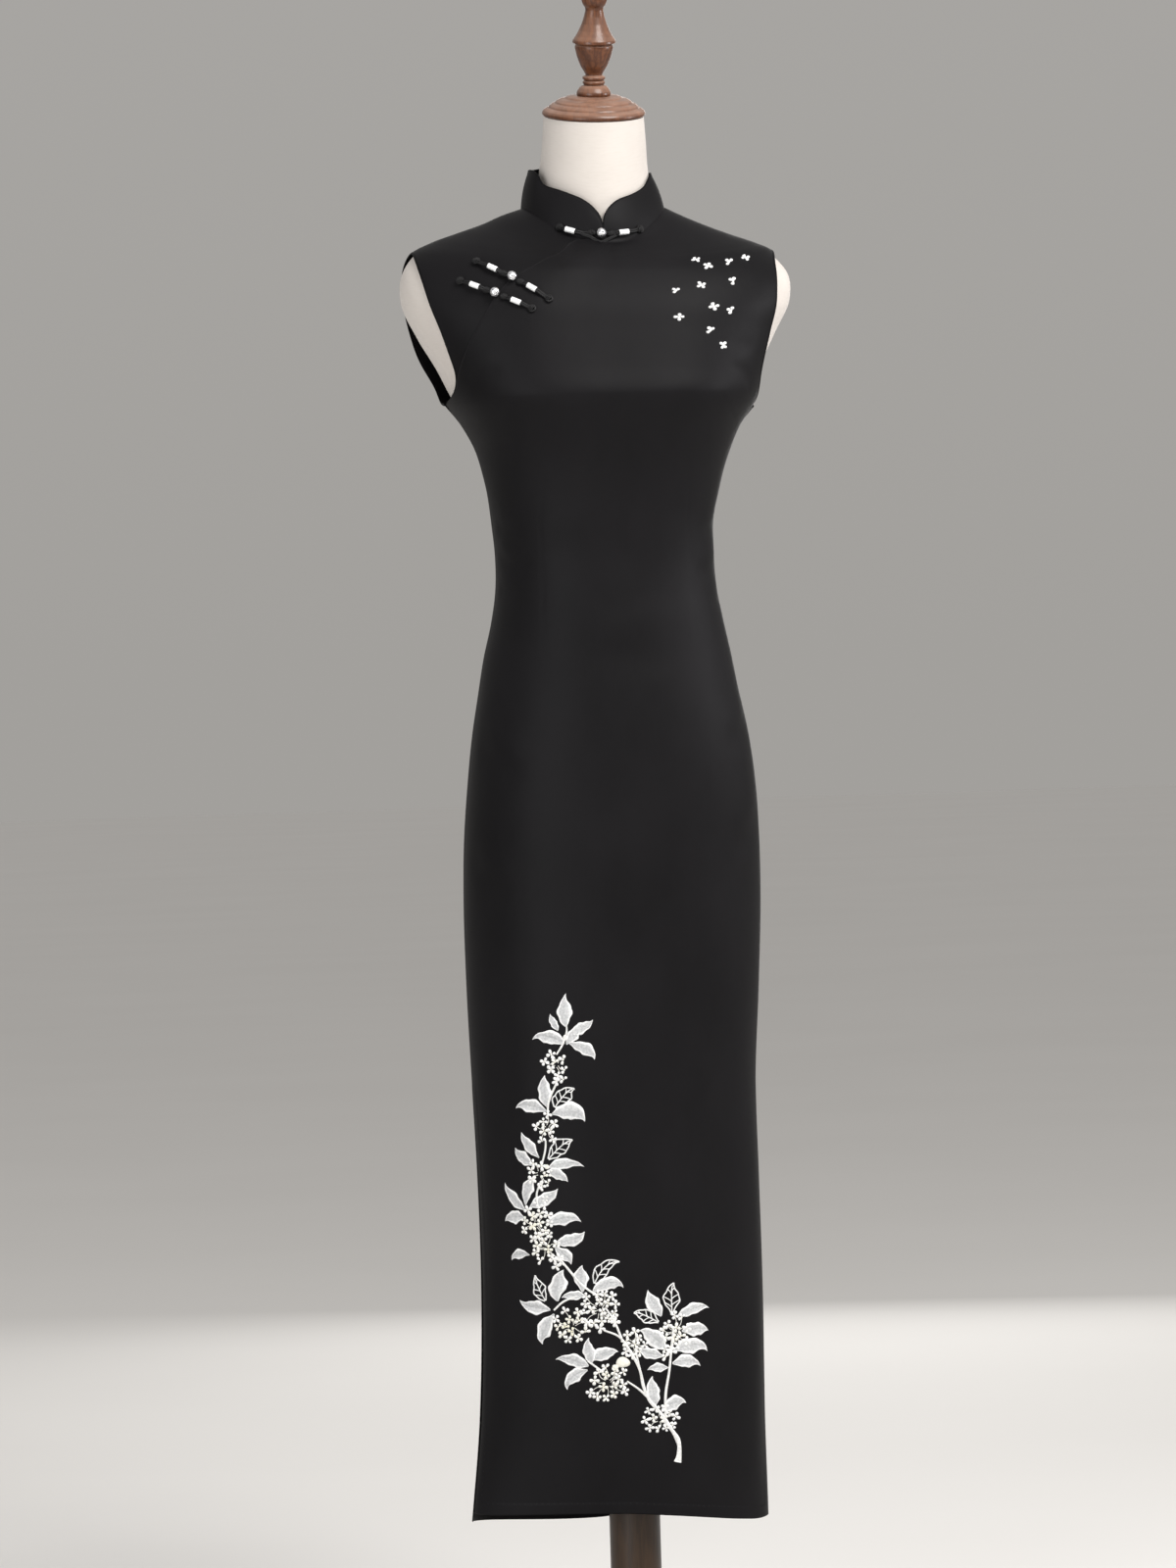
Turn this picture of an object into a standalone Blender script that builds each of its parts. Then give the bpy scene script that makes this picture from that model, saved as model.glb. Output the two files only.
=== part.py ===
"""Sleeveless cheongsam dress on a limbless dress form with a turned wooden stand.

Metres, +Z up, the dress faces -Y and its own left side is at +X.  The origin is the
middle of the base's underside.  The dress is a set of thin walls, one for each piece
of cloth, laid on one body surface.  That surface is a stack of rings: "up" counts
the way up the side of the body and then in along the shoulder, so the same rings
carry the skirt, the shoulders and the neckline.
"""
import math
from collections import namedtuple

import bpy
import numpy as np

# ---------------------------------------------------------------- driving dimensions
WALL = 0.0012                 # thickness of the cloth walls
SEAM_GAP = 0.0003             # free space between neighbouring solids
FRONT_COLUMNS = 29            # points across each piece of cloth and round the form
BACK_COLUMNS = 23
UNDER_LAP_COLUMNS = 13
FORM_COLUMNS = 28
CLOTH_LIFT = 0.0005           # inner face of the cloth above the body surface

HEM = 0.162                   # places along "up"
SLIT_TOP = 0.612
FORM_BOTTOM = 0.800
WAIST = 1.150
UNDERARM = 1.305
BUST = 1.309
SHOULDER_TIP = 1.457
NECKLINE = 1.570

FORM_ROUNDING = 0.008         # of the form's lower edge, down and in
FORM_DRAWN_IN = 0.05
NECK_TOP = (0.0, 0.009, 1.596)      # middle of the form's neck, where its cap sits
NECK_TILT = 12.2              # degrees that the cap and finial lean forward
COLUMN_RADIUS = 0.026
BASE_RADIUS = 0.210
BASE_TOP = 0.045              # top of the boss that holds the column

SLIT_OPENING = 0.010          # between the front and back edges, at the hem
SLIT_SHAPE = 0.8              # power with which the slits open on the way down
BACK_WIDER = 0.001            # how far the back hem reaches past the front hem
BACK_HEM_DROP = 0.0095        # the back hem's right corner hangs lower

BUST_APART = 0.184            # between the two fullest points of the bust
BUST_DEPTH = 0.0145
BUST_SPREAD = (0.054, 0.074, 0.029)     # across, upward, downward
BUST_TURN = 0.008
BUST_CRISP = 1.4                # how sharply the cloth falls below the bust
BUST_BRIDGE = 0.42              # the cloth spans the hollow between the two sides
BUST_FADE = 0.45              # share of the way to the front over which it sets in

# degrees that each armhole edge cuts in from the side, the share of its height where it cuts
# in most, and how squarely it turns at the shoulder
Armhole = namedtuple("Armhole", "depth fullest shoulder")
ARMHOLE_FRONT_RIGHT = Armhole(21.3, 0.30, 2.0)
ARMHOLE_FRONT_LEFT = Armhole(20.4, 0.42, 3.2)
ARMHOLE_BACK = Armhole(18.0, 0.30, 2.0)
ARMHOLE_CORNER = 3.5          # how squarely it turns at the underarm
ARMHOLE_GAPE = 0.0115          # the back armhole edges stand away from the form,
GAPE_MIDDLE = 1.360           # most at this height
GAPE_SPREAD = 0.035

LAP_TUCK = 12.0               # degrees that the under lap reaches below the front
LAP_CLEARANCE = 0.0009        # between the flat facets of the two layers
UNDER_LAP_BOTTOM = WAIST + (UNDERARM - WAIST) * 4 / 7    # on a row of the front
LAP_FADE = 16.0               # degrees over which the front settles on the under lap

COLLAR_WALL = 0.0018          # the collar is stiffened
COLLAR_TOP_SIDE = 1.5390      # height of its upper edge at the sides, front and back
COLLAR_TOP_FRONT = 1.5045
COLLAR_TOP_BACK = 1.5485
COLLAR_TOP_MIDDLE = (-0.0050, 0.0145)   # middle, half width and half depth of that edge
COLLAR_TOP_HALF = 0.0610
COLLAR_TOP_DEPTH = 0.0612
COLLAR_LEAN = 0.0025          # how much lower the left side of that edge stands
# where the edge drops below its oval: angle, spread before and after it, depth
COLLAR_DIPS = ((211.0, 4.5, 13.5, 0.0072), (322.0, 15.0, 9.0, 0.0042))
COLLAR_BOW = 0.0015
COLLAR_END = 0.37             # height share of the collar at its front ends
COLLAR_ROUND = 0.026          # width of the rounding of its front ends
COLLAR_MEETING = 0.35         # degrees from the middle of the front to each end

FRONT_ANGLE = 270.0           # degrees round the body: 0 is +X, 270 is the front
RIGHT_SEAM = 180.0
LEFT_SEAM = 360.0

Ring = namedtuple("Ring", "up side_z front_z back_z centre_x centre_y"
                          " half_width front back squareness ease left_drop")

# one row for each section of the body, from the hem to the neckline; ease is what the
# form is smaller by, and left_drop how much lower the dress's left side hangs
BODY = [
    Ring(0.162, 0.168, 0.1760, 0.1565, -0.0130, 0.006, 0.1510, 0.066, 0.078, 1.80, 0.004, 0.0075),
    Ring(0.260, 0.260, 0.260, 0.260, -0.0080, 0.006, 0.1455, 0.077, 0.088, 1.84, 0.004, 0.007),
    Ring(0.400, 0.400, 0.400, 0.400, -0.0045, 0.006, 0.1430, 0.089, 0.100, 1.90, 0.004, 0.006),
    Ring(0.520, 0.520, 0.520, 0.520, -0.0055, 0.006, 0.1430, 0.098, 0.109, 1.96, 0.004, 0.005),
    Ring(0.612, 0.612, 0.612, 0.612, -0.0075, 0.006, 0.1440, 0.103, 0.115, 2.02, 0.004, 0.004),
    Ring(0.710, 0.710, 0.710, 0.710, -0.0060, 0.006, 0.1483, 0.108, 0.120, 2.08, 0.005, 0.003),
    Ring(0.800, 0.800, 0.800, 0.800, -0.0040, 0.006, 0.1505, 0.111, 0.124, 2.12, 0.006, 0.002),
    Ring(0.860, 0.860, 0.860, 0.860, -0.0028, 0.006, 0.1494, 0.112, 0.125, 2.14, 0.005, 0.001),
    Ring(0.913, 0.913, 0.913, 0.913, -0.0016, 0.006, 0.1458, 0.111, 0.124, 2.16, 0.004, 0.000),
    Ring(0.968, 0.968, 0.968, 0.968, -0.0018, 0.005, 0.1390, 0.108, 0.119, 2.16, 0.003, 0.000),
    Ring(1.010, 1.010, 1.010, 1.010, -0.0026, 0.004, 0.1310, 0.104, 0.112, 2.16, 0.002, 0.000),
    Ring(1.045, 1.045, 1.045, 1.045, -0.0026, 0.004, 0.1247, 0.100, 0.105, 2.16, 0.002, 0.000),
    Ring(1.082, 1.082, 1.082, 1.082, -0.0020, 0.003, 0.1165, 0.096, 0.098, 2.16, 0.002, 0.000),
    Ring(1.114, 1.114, 1.114, 1.114, -0.0024, 0.002, 0.1112, 0.092, 0.093, 2.16, 0.002, 0.000),
    Ring(1.150, 1.150, 1.150, 1.150, -0.0030, 0.001, 0.1101, 0.090, 0.090, 2.16, 0.002, 0.000),
    Ring(1.181, 1.181, 1.181, 1.181, -0.0043, 0.000, 0.1115, 0.092, 0.090, 2.18, 0.002, 0.000),
    Ring(1.213, 1.213, 1.213, 1.213, -0.0028, 0.000, 0.1167, 0.096, 0.091, 2.20, 0.002, 0.001),
    Ring(1.238, 1.238, 1.238, 1.238, -0.0020, 0.000, 0.1222, 0.101, 0.093, 2.22, 0.002, 0.002),
    Ring(1.258, 1.2575, 1.258, 1.258, -0.0017, 0.000, 0.1287, 0.106, 0.095, 2.24, 0.003, 0.0025),
    Ring(1.283, 1.281, 1.283, 1.283, -0.0035, 0.000, 0.1402, 0.112, 0.097, 2.30, 0.004, 0.004),
    Ring(1.305, 1.3025, 1.305, 1.305, -0.0040, 0.000, 0.1550, 0.115, 0.099, 2.38, 0.006, 0.0045),
    Ring(1.335, 1.3335, 1.335, 1.335, -0.0048, 0.001, 0.1700, 0.1125, 0.101, 2.45, 0.007, 0.0035),
    Ring(1.370, 1.370, 1.370, 1.370, -0.0050, 0.003, 0.1870, 0.1095, 0.103, 2.45, 0.0045, 0.002),
    Ring(1.405, 1.4065, 1.402, 1.405, -0.0040, 0.005, 0.2010, 0.105, 0.103, 2.40, 0.002, 0.002),
    Ring(1.430, 1.4330, 1.423, 1.430, -0.0040, 0.006, 0.2004, 0.097, 0.102, 2.32, 0.002, 0.002),
    Ring(1.447, 1.4482, 1.435, 1.447, -0.0055, 0.007, 0.1915, 0.091, 0.099, 2.25, 0.002, 0.002),
    Ring(1.457, 1.4562, 1.441, 1.457, -0.0060, 0.008, 0.1840, 0.087, 0.096, 2.20, 0.002, 0.002),
    Ring(1.474, 1.4643, 1.4465, 1.467, -0.0042, 0.010, 0.1680, 0.083, 0.091, 2.15, 0.002, 0.003),
    Ring(1.502, 1.4743, 1.4530, 1.479, -0.0036, 0.012, 0.1400, 0.077, 0.085, 2.10, 0.002, 0.003),
    Ring(1.530, 1.4845, 1.4580, 1.491, -0.0040, 0.014, 0.1120, 0.073, 0.079, 2.10, 0.002, 0.002),
    Ring(1.552, 1.4940, 1.4610, 1.502, -0.0045, 0.015, 0.0900, 0.070, 0.074, 2.10, 0.002, 0.0015),
    Ring(1.570, 1.5015, 1.4640, 1.511, -0.0028, 0.015, 0.0709, 0.067, 0.068, 2.10, 0.002, 0.0005),
]

# the form's neck, above the neckline, in the same columns
NECK = [
    Ring(1.580, 1.5105, 1.480, 1.518, -0.0010, 0.0160, 0.0640, 0.060, 0.061, 2.05, 0.0, 0.0),
    Ring(1.592, 1.5215, 1.497, 1.528, -0.0006, 0.0165, 0.0582, 0.0565, 0.057, 2.00, 0.0, 0.0),
    Ring(1.610, 1.5420, 1.522, 1.548, -0.0008, 0.0150, 0.0554, 0.0550, 0.055, 2.00, 0.0, 0.0),
    Ring(1.635, 1.566, 1.552, 1.576, 0.0000, 0.0120, 0.0530, 0.0530, 0.053, 2.00, 0.0, 0.0),
    Ring(1.660, 1.596, 1.585, 1.607, 0.0000, 0.0090, 0.0510, 0.0510, 0.051, 2.00, 0.0, 0.0),
]

Edge = namedtuple("Edge", "up angle")
LAP = [                       # the front's edge from the armhole up to the collar
    Edge(1.3180, 199.0), Edge(1.3420, 205.5), Edge(1.3660, 211.0), Edge(1.3900, 215.5),
    Edge(1.4130, 218.8), Edge(1.4320, 222.8), Edge(1.4470, 229.0), Edge(1.4700, 237.0),
    Edge(1.5000, 241.0), Edge(1.5300, 244.5), Edge(1.5520, 250.5), Edge(1.5700, 264.0),
]

Turning = namedtuple("Turning", "radius height")

NECK_CAP = [                  # three rounded steps
    Turning(0.0505, 0.0000), Turning(0.0526, 0.0012), Turning(0.0527, 0.0034),
    Turning(0.0512, 0.0060), Turning(0.0482, 0.0078), Turning(0.0462, 0.0083),
    Turning(0.0452, 0.0102), Turning(0.0426, 0.0122), Turning(0.0398, 0.0129),
    Turning(0.0386, 0.0148), Turning(0.0346, 0.0170), Turning(0.0296, 0.0178),
    Turning(0.0280, 0.0194), Turning(0.0228, 0.0206),
]

FINIAL = [                    # a bell, two rings, a vase, a flange and a stem
    Turning(0.0170, 0.0000), Turning(0.0176, 0.0018), Turning(0.0170, 0.0042),
    Turning(0.0146, 0.0078), Turning(0.0128, 0.0096), Turning(0.0098, 0.0106),
    Turning(0.0114, 0.0121), Turning(0.0114, 0.0141), Turning(0.0098, 0.0153),
    Turning(0.0118, 0.0167), Turning(0.0116, 0.0189), Turning(0.0084, 0.0206),
    Turning(0.0094, 0.0228), Turning(0.0136, 0.0296), Turning(0.0171, 0.0384),
    Turning(0.0196, 0.0480), Turning(0.0196, 0.0508), Turning(0.0188, 0.0520),
    Turning(0.0222, 0.0536), Turning(0.0216, 0.0566), Turning(0.0188, 0.0605),
    Turning(0.0158, 0.0660), Turning(0.0128, 0.0730), Turning(0.0104, 0.0805),
    Turning(0.0090, 0.0870),
]
FINIAL_BALL = Turning(0.0132, 0.0988)

BASE = [
    Turning(BASE_RADIUS - 0.002, 0.0000), Turning(BASE_RADIUS, 0.0020),
    Turning(BASE_RADIUS, 0.0160), Turning(BASE_RADIUS - 0.004, 0.0220),
    Turning(BASE_RADIUS - 0.014, 0.0250), Turning(0.0600, 0.0290),
    Turning(0.0450, 0.0340), Turning(0.0400, BASE_TOP),
]

# each frog fastening: its outer end on the garment's right, and its other end
Frog = namedtuple("Frog", "name from_angle from_up to_angle to_up")
CHEST_FROGS = [
    Frog("frog_chest_upper", 207.7, 1.4503, 238.7, 1.4035),
    Frog("frog_chest_lower", 205.8, 1.4258, 232.2, 1.3934),
]
NECK_FROG = Frog("frog_neck", 230.5, 0.09, 304.5, 0.09)     # "up" is a share of the collar
NECK_FROG_RISE = 0.075

BALL_RADIUS = 0.0050
STRAND_RADIUS = 0.0008        # a frog's cord is two strands side by side
STRAND_APART = 0.00095        # from the middle line to each strand
LOOP_RADIUS = 0.0042          # of the small eye that ends each cord
BEAD_LENGTH = 0.0105
BEAD_RADIUS = 0.0028
BEAD_BORE = 0.0021
BEAD_PLACE = 0.023            # from the ball's middle to the bead's
NECK_BEAD_PLACE = 0.031       # the same for the neck frog's right bead
BEAD_LIFT = 0.0034            # the bead's middle above the cloth
CORD_RISE = (0.0055, 0.0035)  # the cord is level in its bead, then comes down

# ---------------------------------------------------------------- scene and materials


def clear_scene():
    for leftover in list(bpy.data.objects):
        bpy.data.objects.remove(leftover, do_unlink=True)


def material(name, colour, roughness, metallic=0.0):
    made = bpy.data.materials.new(name)
    made.use_nodes = True
    shader = made.node_tree.nodes["Principled BSDF"]
    shader.inputs["Base Color"].default_value = (*colour, 1.0)
    shader.inputs["Roughness"].default_value = roughness
    shader.inputs["Metallic"].default_value = metallic
    return made


def add_object(name, points, faces, finish, smooth_below=40.0):
    mesh = bpy.data.meshes.new(name)
    mesh.from_pydata([tuple(point) for point in points], [], faces)
    mesh.materials.append(finish)
    mesh.shade_smooth()
    mesh.set_sharp_from_angle(angle=math.radians(smooth_below))
    made = bpy.data.objects.new(name, mesh)
    bpy.context.collection.objects.link(made)
    return made


# ---------------------------------------------------------------- the body surface


class Smooth:
    """A smooth run through a table whose first column grows from row to row."""

    def __init__(self, rows):
        self.knots = np.array([row[0] for row in rows])
        self.rows = np.array([row[1:] for row in rows])
        self.slopes = np.gradient(self.rows, self.knots, axis=0)

    def at(self, place):
        low = int(np.clip(np.searchsorted(self.knots, place) - 1, 0, len(self.knots) - 2))
        span = self.knots[low + 1] - self.knots[low]
        t = (place - self.knots[low]) / span
        start = self.rows[low] * (1 + 2 * t) * (1 - t) ** 2
        start = start + self.slopes[low] * span * t * (1 - t) ** 2
        end = self.rows[low + 1] * (3 - 2 * t) * t ** 2
        return start + end - self.slopes[low + 1] * span * (1 - t) * t ** 2


class Surface:
    """A smooth skin through a table of rings."""

    def __init__(self, rings):
        self.table = Smooth(rings)

    def ring(self, up):
        """The columns of the table at any place between its rows."""
        return Ring(up, *self.table.at(up))

    def points(self, angles, up):
        """Points at these angles, in degrees, round the ring at this height."""
        row = self.ring(up)
        turn = np.radians(angles)
        ahead = np.sin(turn) < 0
        depth = np.where(ahead, row.front, row.back)
        across, along = np.cos(turn), np.sin(turn)
        radius = ((np.abs(across) / row.half_width) ** row.squareness
                  + (np.abs(along) / depth) ** row.squareness) ** (-1 / row.squareness)
        x = row.centre_x + radius * across
        y = row.centre_y + radius * along
        end_z = np.where(ahead, row.front_z, row.back_z)
        z = row.side_z + (end_z - row.side_z) * (radius * along / depth) ** 2
        z = z - row.left_drop * radius * across / row.half_width
        towards_front = np.clip(-along / BUST_FADE, 0, 1)
        towards_front = towards_front ** 2 * (3 - 2 * towards_front)
        y = y - bust_fullness(x - row.centre_x, z) * towards_front
        return np.stack([x, y, z], axis=1)

    def normals(self, angles, up):
        angles = np.asarray(angles, dtype=float)
        round_it = self.points(angles + 0.05, up) - self.points(angles - 0.05, up)
        up_it = self.points(angles, up + 0.0005) - self.points(angles, up - 0.0005)
        out = np.cross(round_it, up_it)
        return out / np.linalg.norm(out, axis=1, keepdims=True)

    def raised(self, angles, up, lift):
        """The surface's points moved out along its normals."""
        lift = np.broadcast_to(lift, np.shape(angles))[:, None]
        return self.points(angles, up) + self.normals(angles, up) * lift

    def even_angles(self, first, last, up, count):
        """Angles that part this ring between two angles into equal lengths."""
        fine = np.linspace(first, last, 181)
        steps = np.linalg.norm(np.diff(self.points(fine, up), axis=0), axis=1)
        run = np.concatenate([[0.0], np.cumsum(steps)])
        return np.interp(np.linspace(0.0, run[-1], count), run, fine)


def bust_fullness(x, z):
    over = np.clip(z - BUST, 0, None)
    above = np.exp(-(np.hypot(over, BUST_TURN) - BUST_TURN) / BUST_SPREAD[1])
    below = np.exp(-(np.clip(BUST - z, 0, None) / BUST_SPREAD[2]) ** BUST_CRISP / 2)
    lobes = BUST_BRIDGE * np.exp(-(x / BUST_SPREAD[0]) ** 2 / 2)
    for side in (-1, 1):
        lobes = lobes + np.exp(-((x - side * BUST_APART / 2) / BUST_SPREAD[0]) ** 2 / 2)
    return BUST_DEPTH * above * below * lobes


# ---------------------------------------------------------------- walls of cloth


def wall(name, outer, inner, finish):
    """A closed wall between two grids of points, rows by columns."""
    rows, columns = outer.shape[:2]
    points = np.concatenate([outer.reshape(-1, 3), inner.reshape(-1, 3)])
    inside = rows * columns

    def at(row, column, layer=0):
        return layer * inside + row * columns + column

    faces = []
    for row in range(rows - 1):
        for column in range(columns - 1):
            quad = [(row, column), (row, column + 1), (row + 1, column + 1), (row + 1, column)]
            faces.append([at(*corner) for corner in quad])
            faces.append([at(*corner, 1) for corner in reversed(quad)])
    rim = [(0, column) for column in range(columns)]
    rim += [(row, columns - 1) for row in range(1, rows)]
    rim += [(rows - 1, column) for column in range(columns - 2, -1, -1)]
    rim += [(row, 0) for row in range(rows - 2, 0, -1)]
    for here, there in zip(rim, rim[1:] + rim[:1]):
        faces.append([at(*here), at(*here, 1), at(*there, 1), at(*there)])
    return add_object(name, points, faces, finish)


def spread_rows(*stretches):
    """Heights of a panel's rows, from (start, end, steps, crowd both ends) stretches."""
    rows = [stretches[0][0]]
    for start, end, steps, crowded in stretches:
        for step in range(1, steps + 1):
            share = step / steps
            if crowded:
                share = (1 - math.cos(math.pi * share)) / 2
            rows.append(start + (end - start) * share)
    return rows


# the armhole turns sharply out of the side seam, so its first row is a low one
ARMHOLE_ROWS = ((UNDERARM, UNDERARM + 0.0012, 1, False),
                (UNDERARM + 0.0012, SHOULDER_TIP, 11, True))


def armhole_cut(up, hole):
    """Degrees that an armhole cuts in from the side at this height."""
    share = (up - UNDERARM) / (SHOULDER_TIP - UNDERARM)
    if share <= 0 or share >= 1:
        return 0.0
    if share > hole.fullest:
        away = ((share - hole.fullest) / (1 - hole.fullest)) ** hole.shoulder
    else:
        away = (1 - share / hole.fullest) ** ARMHOLE_CORNER
    return hole.depth * math.sqrt(1 - away)


def gap_angle(body, up, distance):
    """Degrees that a short distance takes at the side of this ring."""
    row = body.ring(up)
    step = np.linalg.norm(body.points([0.5], up)[0] - body.points([0.0], up)[0])
    return 0.5 * distance / max(step, 0.2 * math.radians(0.5) * row.half_width)


def slit_share(up):
    return max(0.0, (SLIT_TOP - up) / (SLIT_TOP - HEM))


def slit_angle(body, up):
    """Half of the seam's gap, and below the slit's top half of its opening."""
    return gap_angle(body, up, (SEAM_GAP + SLIT_OPENING * slit_share(up) ** SLIT_SHAPE) / 2)


def lap_angle(up):
    return float(Smooth(LAP).at(np.clip(up, LAP[0].up, LAP[-1].up))[0])


def lap_layer(angles, up):
    """1 where the front lies on the under lap, fading to 0 beyond it."""
    if up < UNDER_LAP_BOTTOM - 0.05:
        return np.zeros(len(angles))
    inner_edge = lap_angle(up) + LAP_TUCK
    across = np.clip((inner_edge + LAP_FADE - np.asarray(angles)) / LAP_FADE, 0, 1)
    down = np.clip((up - UNDER_LAP_BOTTOM + 0.05) / 0.045, 0, 1)
    return across ** 2 * (3 - 2 * across) * down


def make_front(body, finish):
    """The front, from hem to collar, with its lap edge across the right chest."""
    rows = spread_rows((HEM, SLIT_TOP, 5, False), (SLIT_TOP, WAIST, 8, False),
                       (WAIST, UNDERARM, 7, False), *ARMHOLE_ROWS,
                       (SHOULDER_TIP, NECKLINE - SEAM_GAP, 5, False))
    outer, inner = [], []
    for up in rows:
        side = slit_angle(body, up)
        first = RIGHT_SEAM + side + armhole_cut(up, ARMHOLE_FRONT_RIGHT)
        if up > LAP[0].up:
            first = max(first, lap_angle(up))
        last = LEFT_SEAM - side - armhole_cut(up, ARMHOLE_FRONT_LEFT)
        angles = body.even_angles(first, last, up, FRONT_COLUMNS)
        lift = CLOTH_LIFT + (WALL + LAP_CLEARANCE) * lap_layer(angles, up)
        outer.append(body.raised(angles, up, lift + WALL))
        inner.append(body.raised(angles, up, lift))
    return wall("dress_front", np.array(outer), np.array(inner), finish)


def make_under_lap(body, finish):
    """The small right front: its upper part shows, its edge lies below the front."""
    rows = spread_rows((UNDER_LAP_BOTTOM, UNDERARM, 3, False), *ARMHOLE_ROWS,
                       (SHOULDER_TIP, NECKLINE - SEAM_GAP, 5, False))
    outer, inner = [], []
    for up in rows:
        side = gap_angle(body, up, SEAM_GAP / 2)
        first = RIGHT_SEAM + side + armhole_cut(up, ARMHOLE_FRONT_RIGHT)
        last = lap_angle(up) + LAP_TUCK
        angles = body.even_angles(first, last, up, UNDER_LAP_COLUMNS)
        outer.append(body.raised(angles, up, CLOTH_LIFT + WALL))
        inner.append(body.raised(angles, up, CLOTH_LIFT))
    return wall("dress_under_lap", np.array(outer), np.array(inner), finish)


def make_back(body, finish):
    """The back: its armhole edges stand off, its hem is wider and hangs lower at the right."""
    rows = spread_rows((HEM, SLIT_TOP, 5, False), (SLIT_TOP, WAIST, 8, False),
                       (WAIST, UNDERARM, 6, False), *ARMHOLE_ROWS,
                       (SHOULDER_TIP, NECKLINE - SEAM_GAP, 4, False))
    outer, inner = [], []
    for up in rows:
        side = slit_angle(body, up)
        cut = armhole_cut(up, ARMHOLE_BACK)
        angles = body.even_angles(side + cut, RIGHT_SEAM - side - cut, up, BACK_COLUMNS)
        edge = np.abs(np.linspace(-1, 1, BACK_COLUMNS)) ** 6
        stand_off = ARMHOLE_GAPE * edge * math.exp(-((up - GAPE_MIDDLE) / GAPE_SPREAD) ** 2 / 2)
        rings = [body.raised(angles, up, CLOTH_LIFT + stand_off + layer) for layer in (WALL, 0)]
        for ring in rings:
            low = slit_share(up)
            across = (ring[:, 0] - ring[:, 0].mean()) / (ring[:, 0].max() - ring[:, 0].mean())
            ring[:, 0] += BACK_WIDER * low * across
            ring[:, 2] -= BACK_HEM_DROP * low ** 3 * np.clip(-across, 0, 1) ** 0.7
        outer.append(rings[0])
        inner.append(rings[1])
    return wall("dress_back", np.array(outer), np.array(inner), finish)


# ---------------------------------------------------------------- collar


def collar_top(angles):
    """The ring of the collar's upper edge, above the neck seam."""
    turn = np.radians(angles)
    ahead = np.sin(turn) < 0
    x = COLLAR_TOP_MIDDLE[0] + COLLAR_TOP_HALF * np.cos(turn)
    y = COLLAR_TOP_MIDDLE[1] + COLLAR_TOP_DEPTH * np.sin(turn)
    end_z = np.where(ahead, COLLAR_TOP_FRONT, COLLAR_TOP_BACK)
    z = COLLAR_TOP_SIDE + (end_z - COLLAR_TOP_SIDE) * np.sin(turn) ** 2
    z = z - COLLAR_LEAN * np.cos(turn)
    for middle, before, after, depth in COLLAR_DIPS:
        away = np.mod(angles, 360.0) - middle
        z = z - depth * np.exp(-(away / np.where(away < 0, before, after)) ** 2 / 2)
    return np.stack([x, y, z], axis=1)


def collar_points(body, angles, shares, lift):
    """Points of the collar at these shares of its height, moved out by lift."""
    foot, top = body.points(angles, NECKLINE), collar_top(angles)
    row = body.ring(NECKLINE)
    level = foot - np.array([row.centre_x, row.centre_y, 0.0])
    level[:, 2] = 0
    level /= np.linalg.norm(level, axis=1, keepdims=True)
    foot = foot + level * CLOTH_LIFT
    foot[:, 2] += CLOTH_LIFT + WALL + 2 * SEAM_GAP
    foot[:, 2] += (WALL + LAP_CLEARANCE) * lap_layer(np.mod(angles, 360.0), NECKLINE)
    shares = np.asarray(shares)[:, None]
    bow = COLLAR_BOW * np.sin(np.pi * shares)
    return foot + (top - foot) * shares + level * (lift + bow)


def collar_point(body, angle, share, lift):
    return collar_points(body, np.array([angle]), [share], lift)[0]


def collar_grid(body, lift, columns=49, steps=4):
    """A standing band from one front end round the back to the other."""
    start, end = FRONT_ANGLE - 360.0 + COLLAR_MEETING, FRONT_ANGLE - COLLAR_MEETING
    angles = body.even_angles(start, end, NECKLINE, columns)
    foot = body.points(angles, NECKLINE)
    run = np.concatenate([[0.0], np.cumsum(np.linalg.norm(np.diff(foot, axis=0), axis=1))])
    to_end = np.minimum(run, run[-1] - run)
    rounding = np.clip(1 - to_end / COLLAR_ROUND, 0, 1)
    height = COLLAR_END + (1 - COLLAR_END) * np.sqrt(1 - rounding ** 2)
    return np.array([collar_points(body, angles, height * step / steps, lift)
                     for step in range(steps + 1)])


def make_collar(body, finish):
    outer = collar_grid(body, COLLAR_WALL)
    return wall("collar", outer, collar_grid(body, 0.0), finish)


# ---------------------------------------------------------------- form and stand


def closed_stack(name, rings, finish, smooth_below=40.0):
    """A solid through closed rings of points, flat at both ends."""
    rings = np.array(rings)
    levels, count = rings.shape[:2]
    faces = []
    for level in range(levels - 1):
        for column in range(count):
            after = (column + 1) % count
            low, high = level * count, (level + 1) * count
            faces.append([low + column, low + after, high + after, high + column])
    faces.append(list(reversed(range(count))))
    faces.append([(levels - 1) * count + column for column in range(count)])
    return add_object(name, rings.reshape(-1, 3), faces, finish, smooth_below)


def turned(name, profile, finish, segments=32):
    """A turned solid on the Z axis, from (radius, height) rows, upward."""
    turn = np.arange(segments) * 2 * math.pi / segments
    rings = []
    for radius, height in profile:
        rings.append(np.stack([radius * np.cos(turn), radius * np.sin(turn),
                               np.full(segments, height)], axis=1))
    return closed_stack(name, rings, finish, 35.0)


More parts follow.
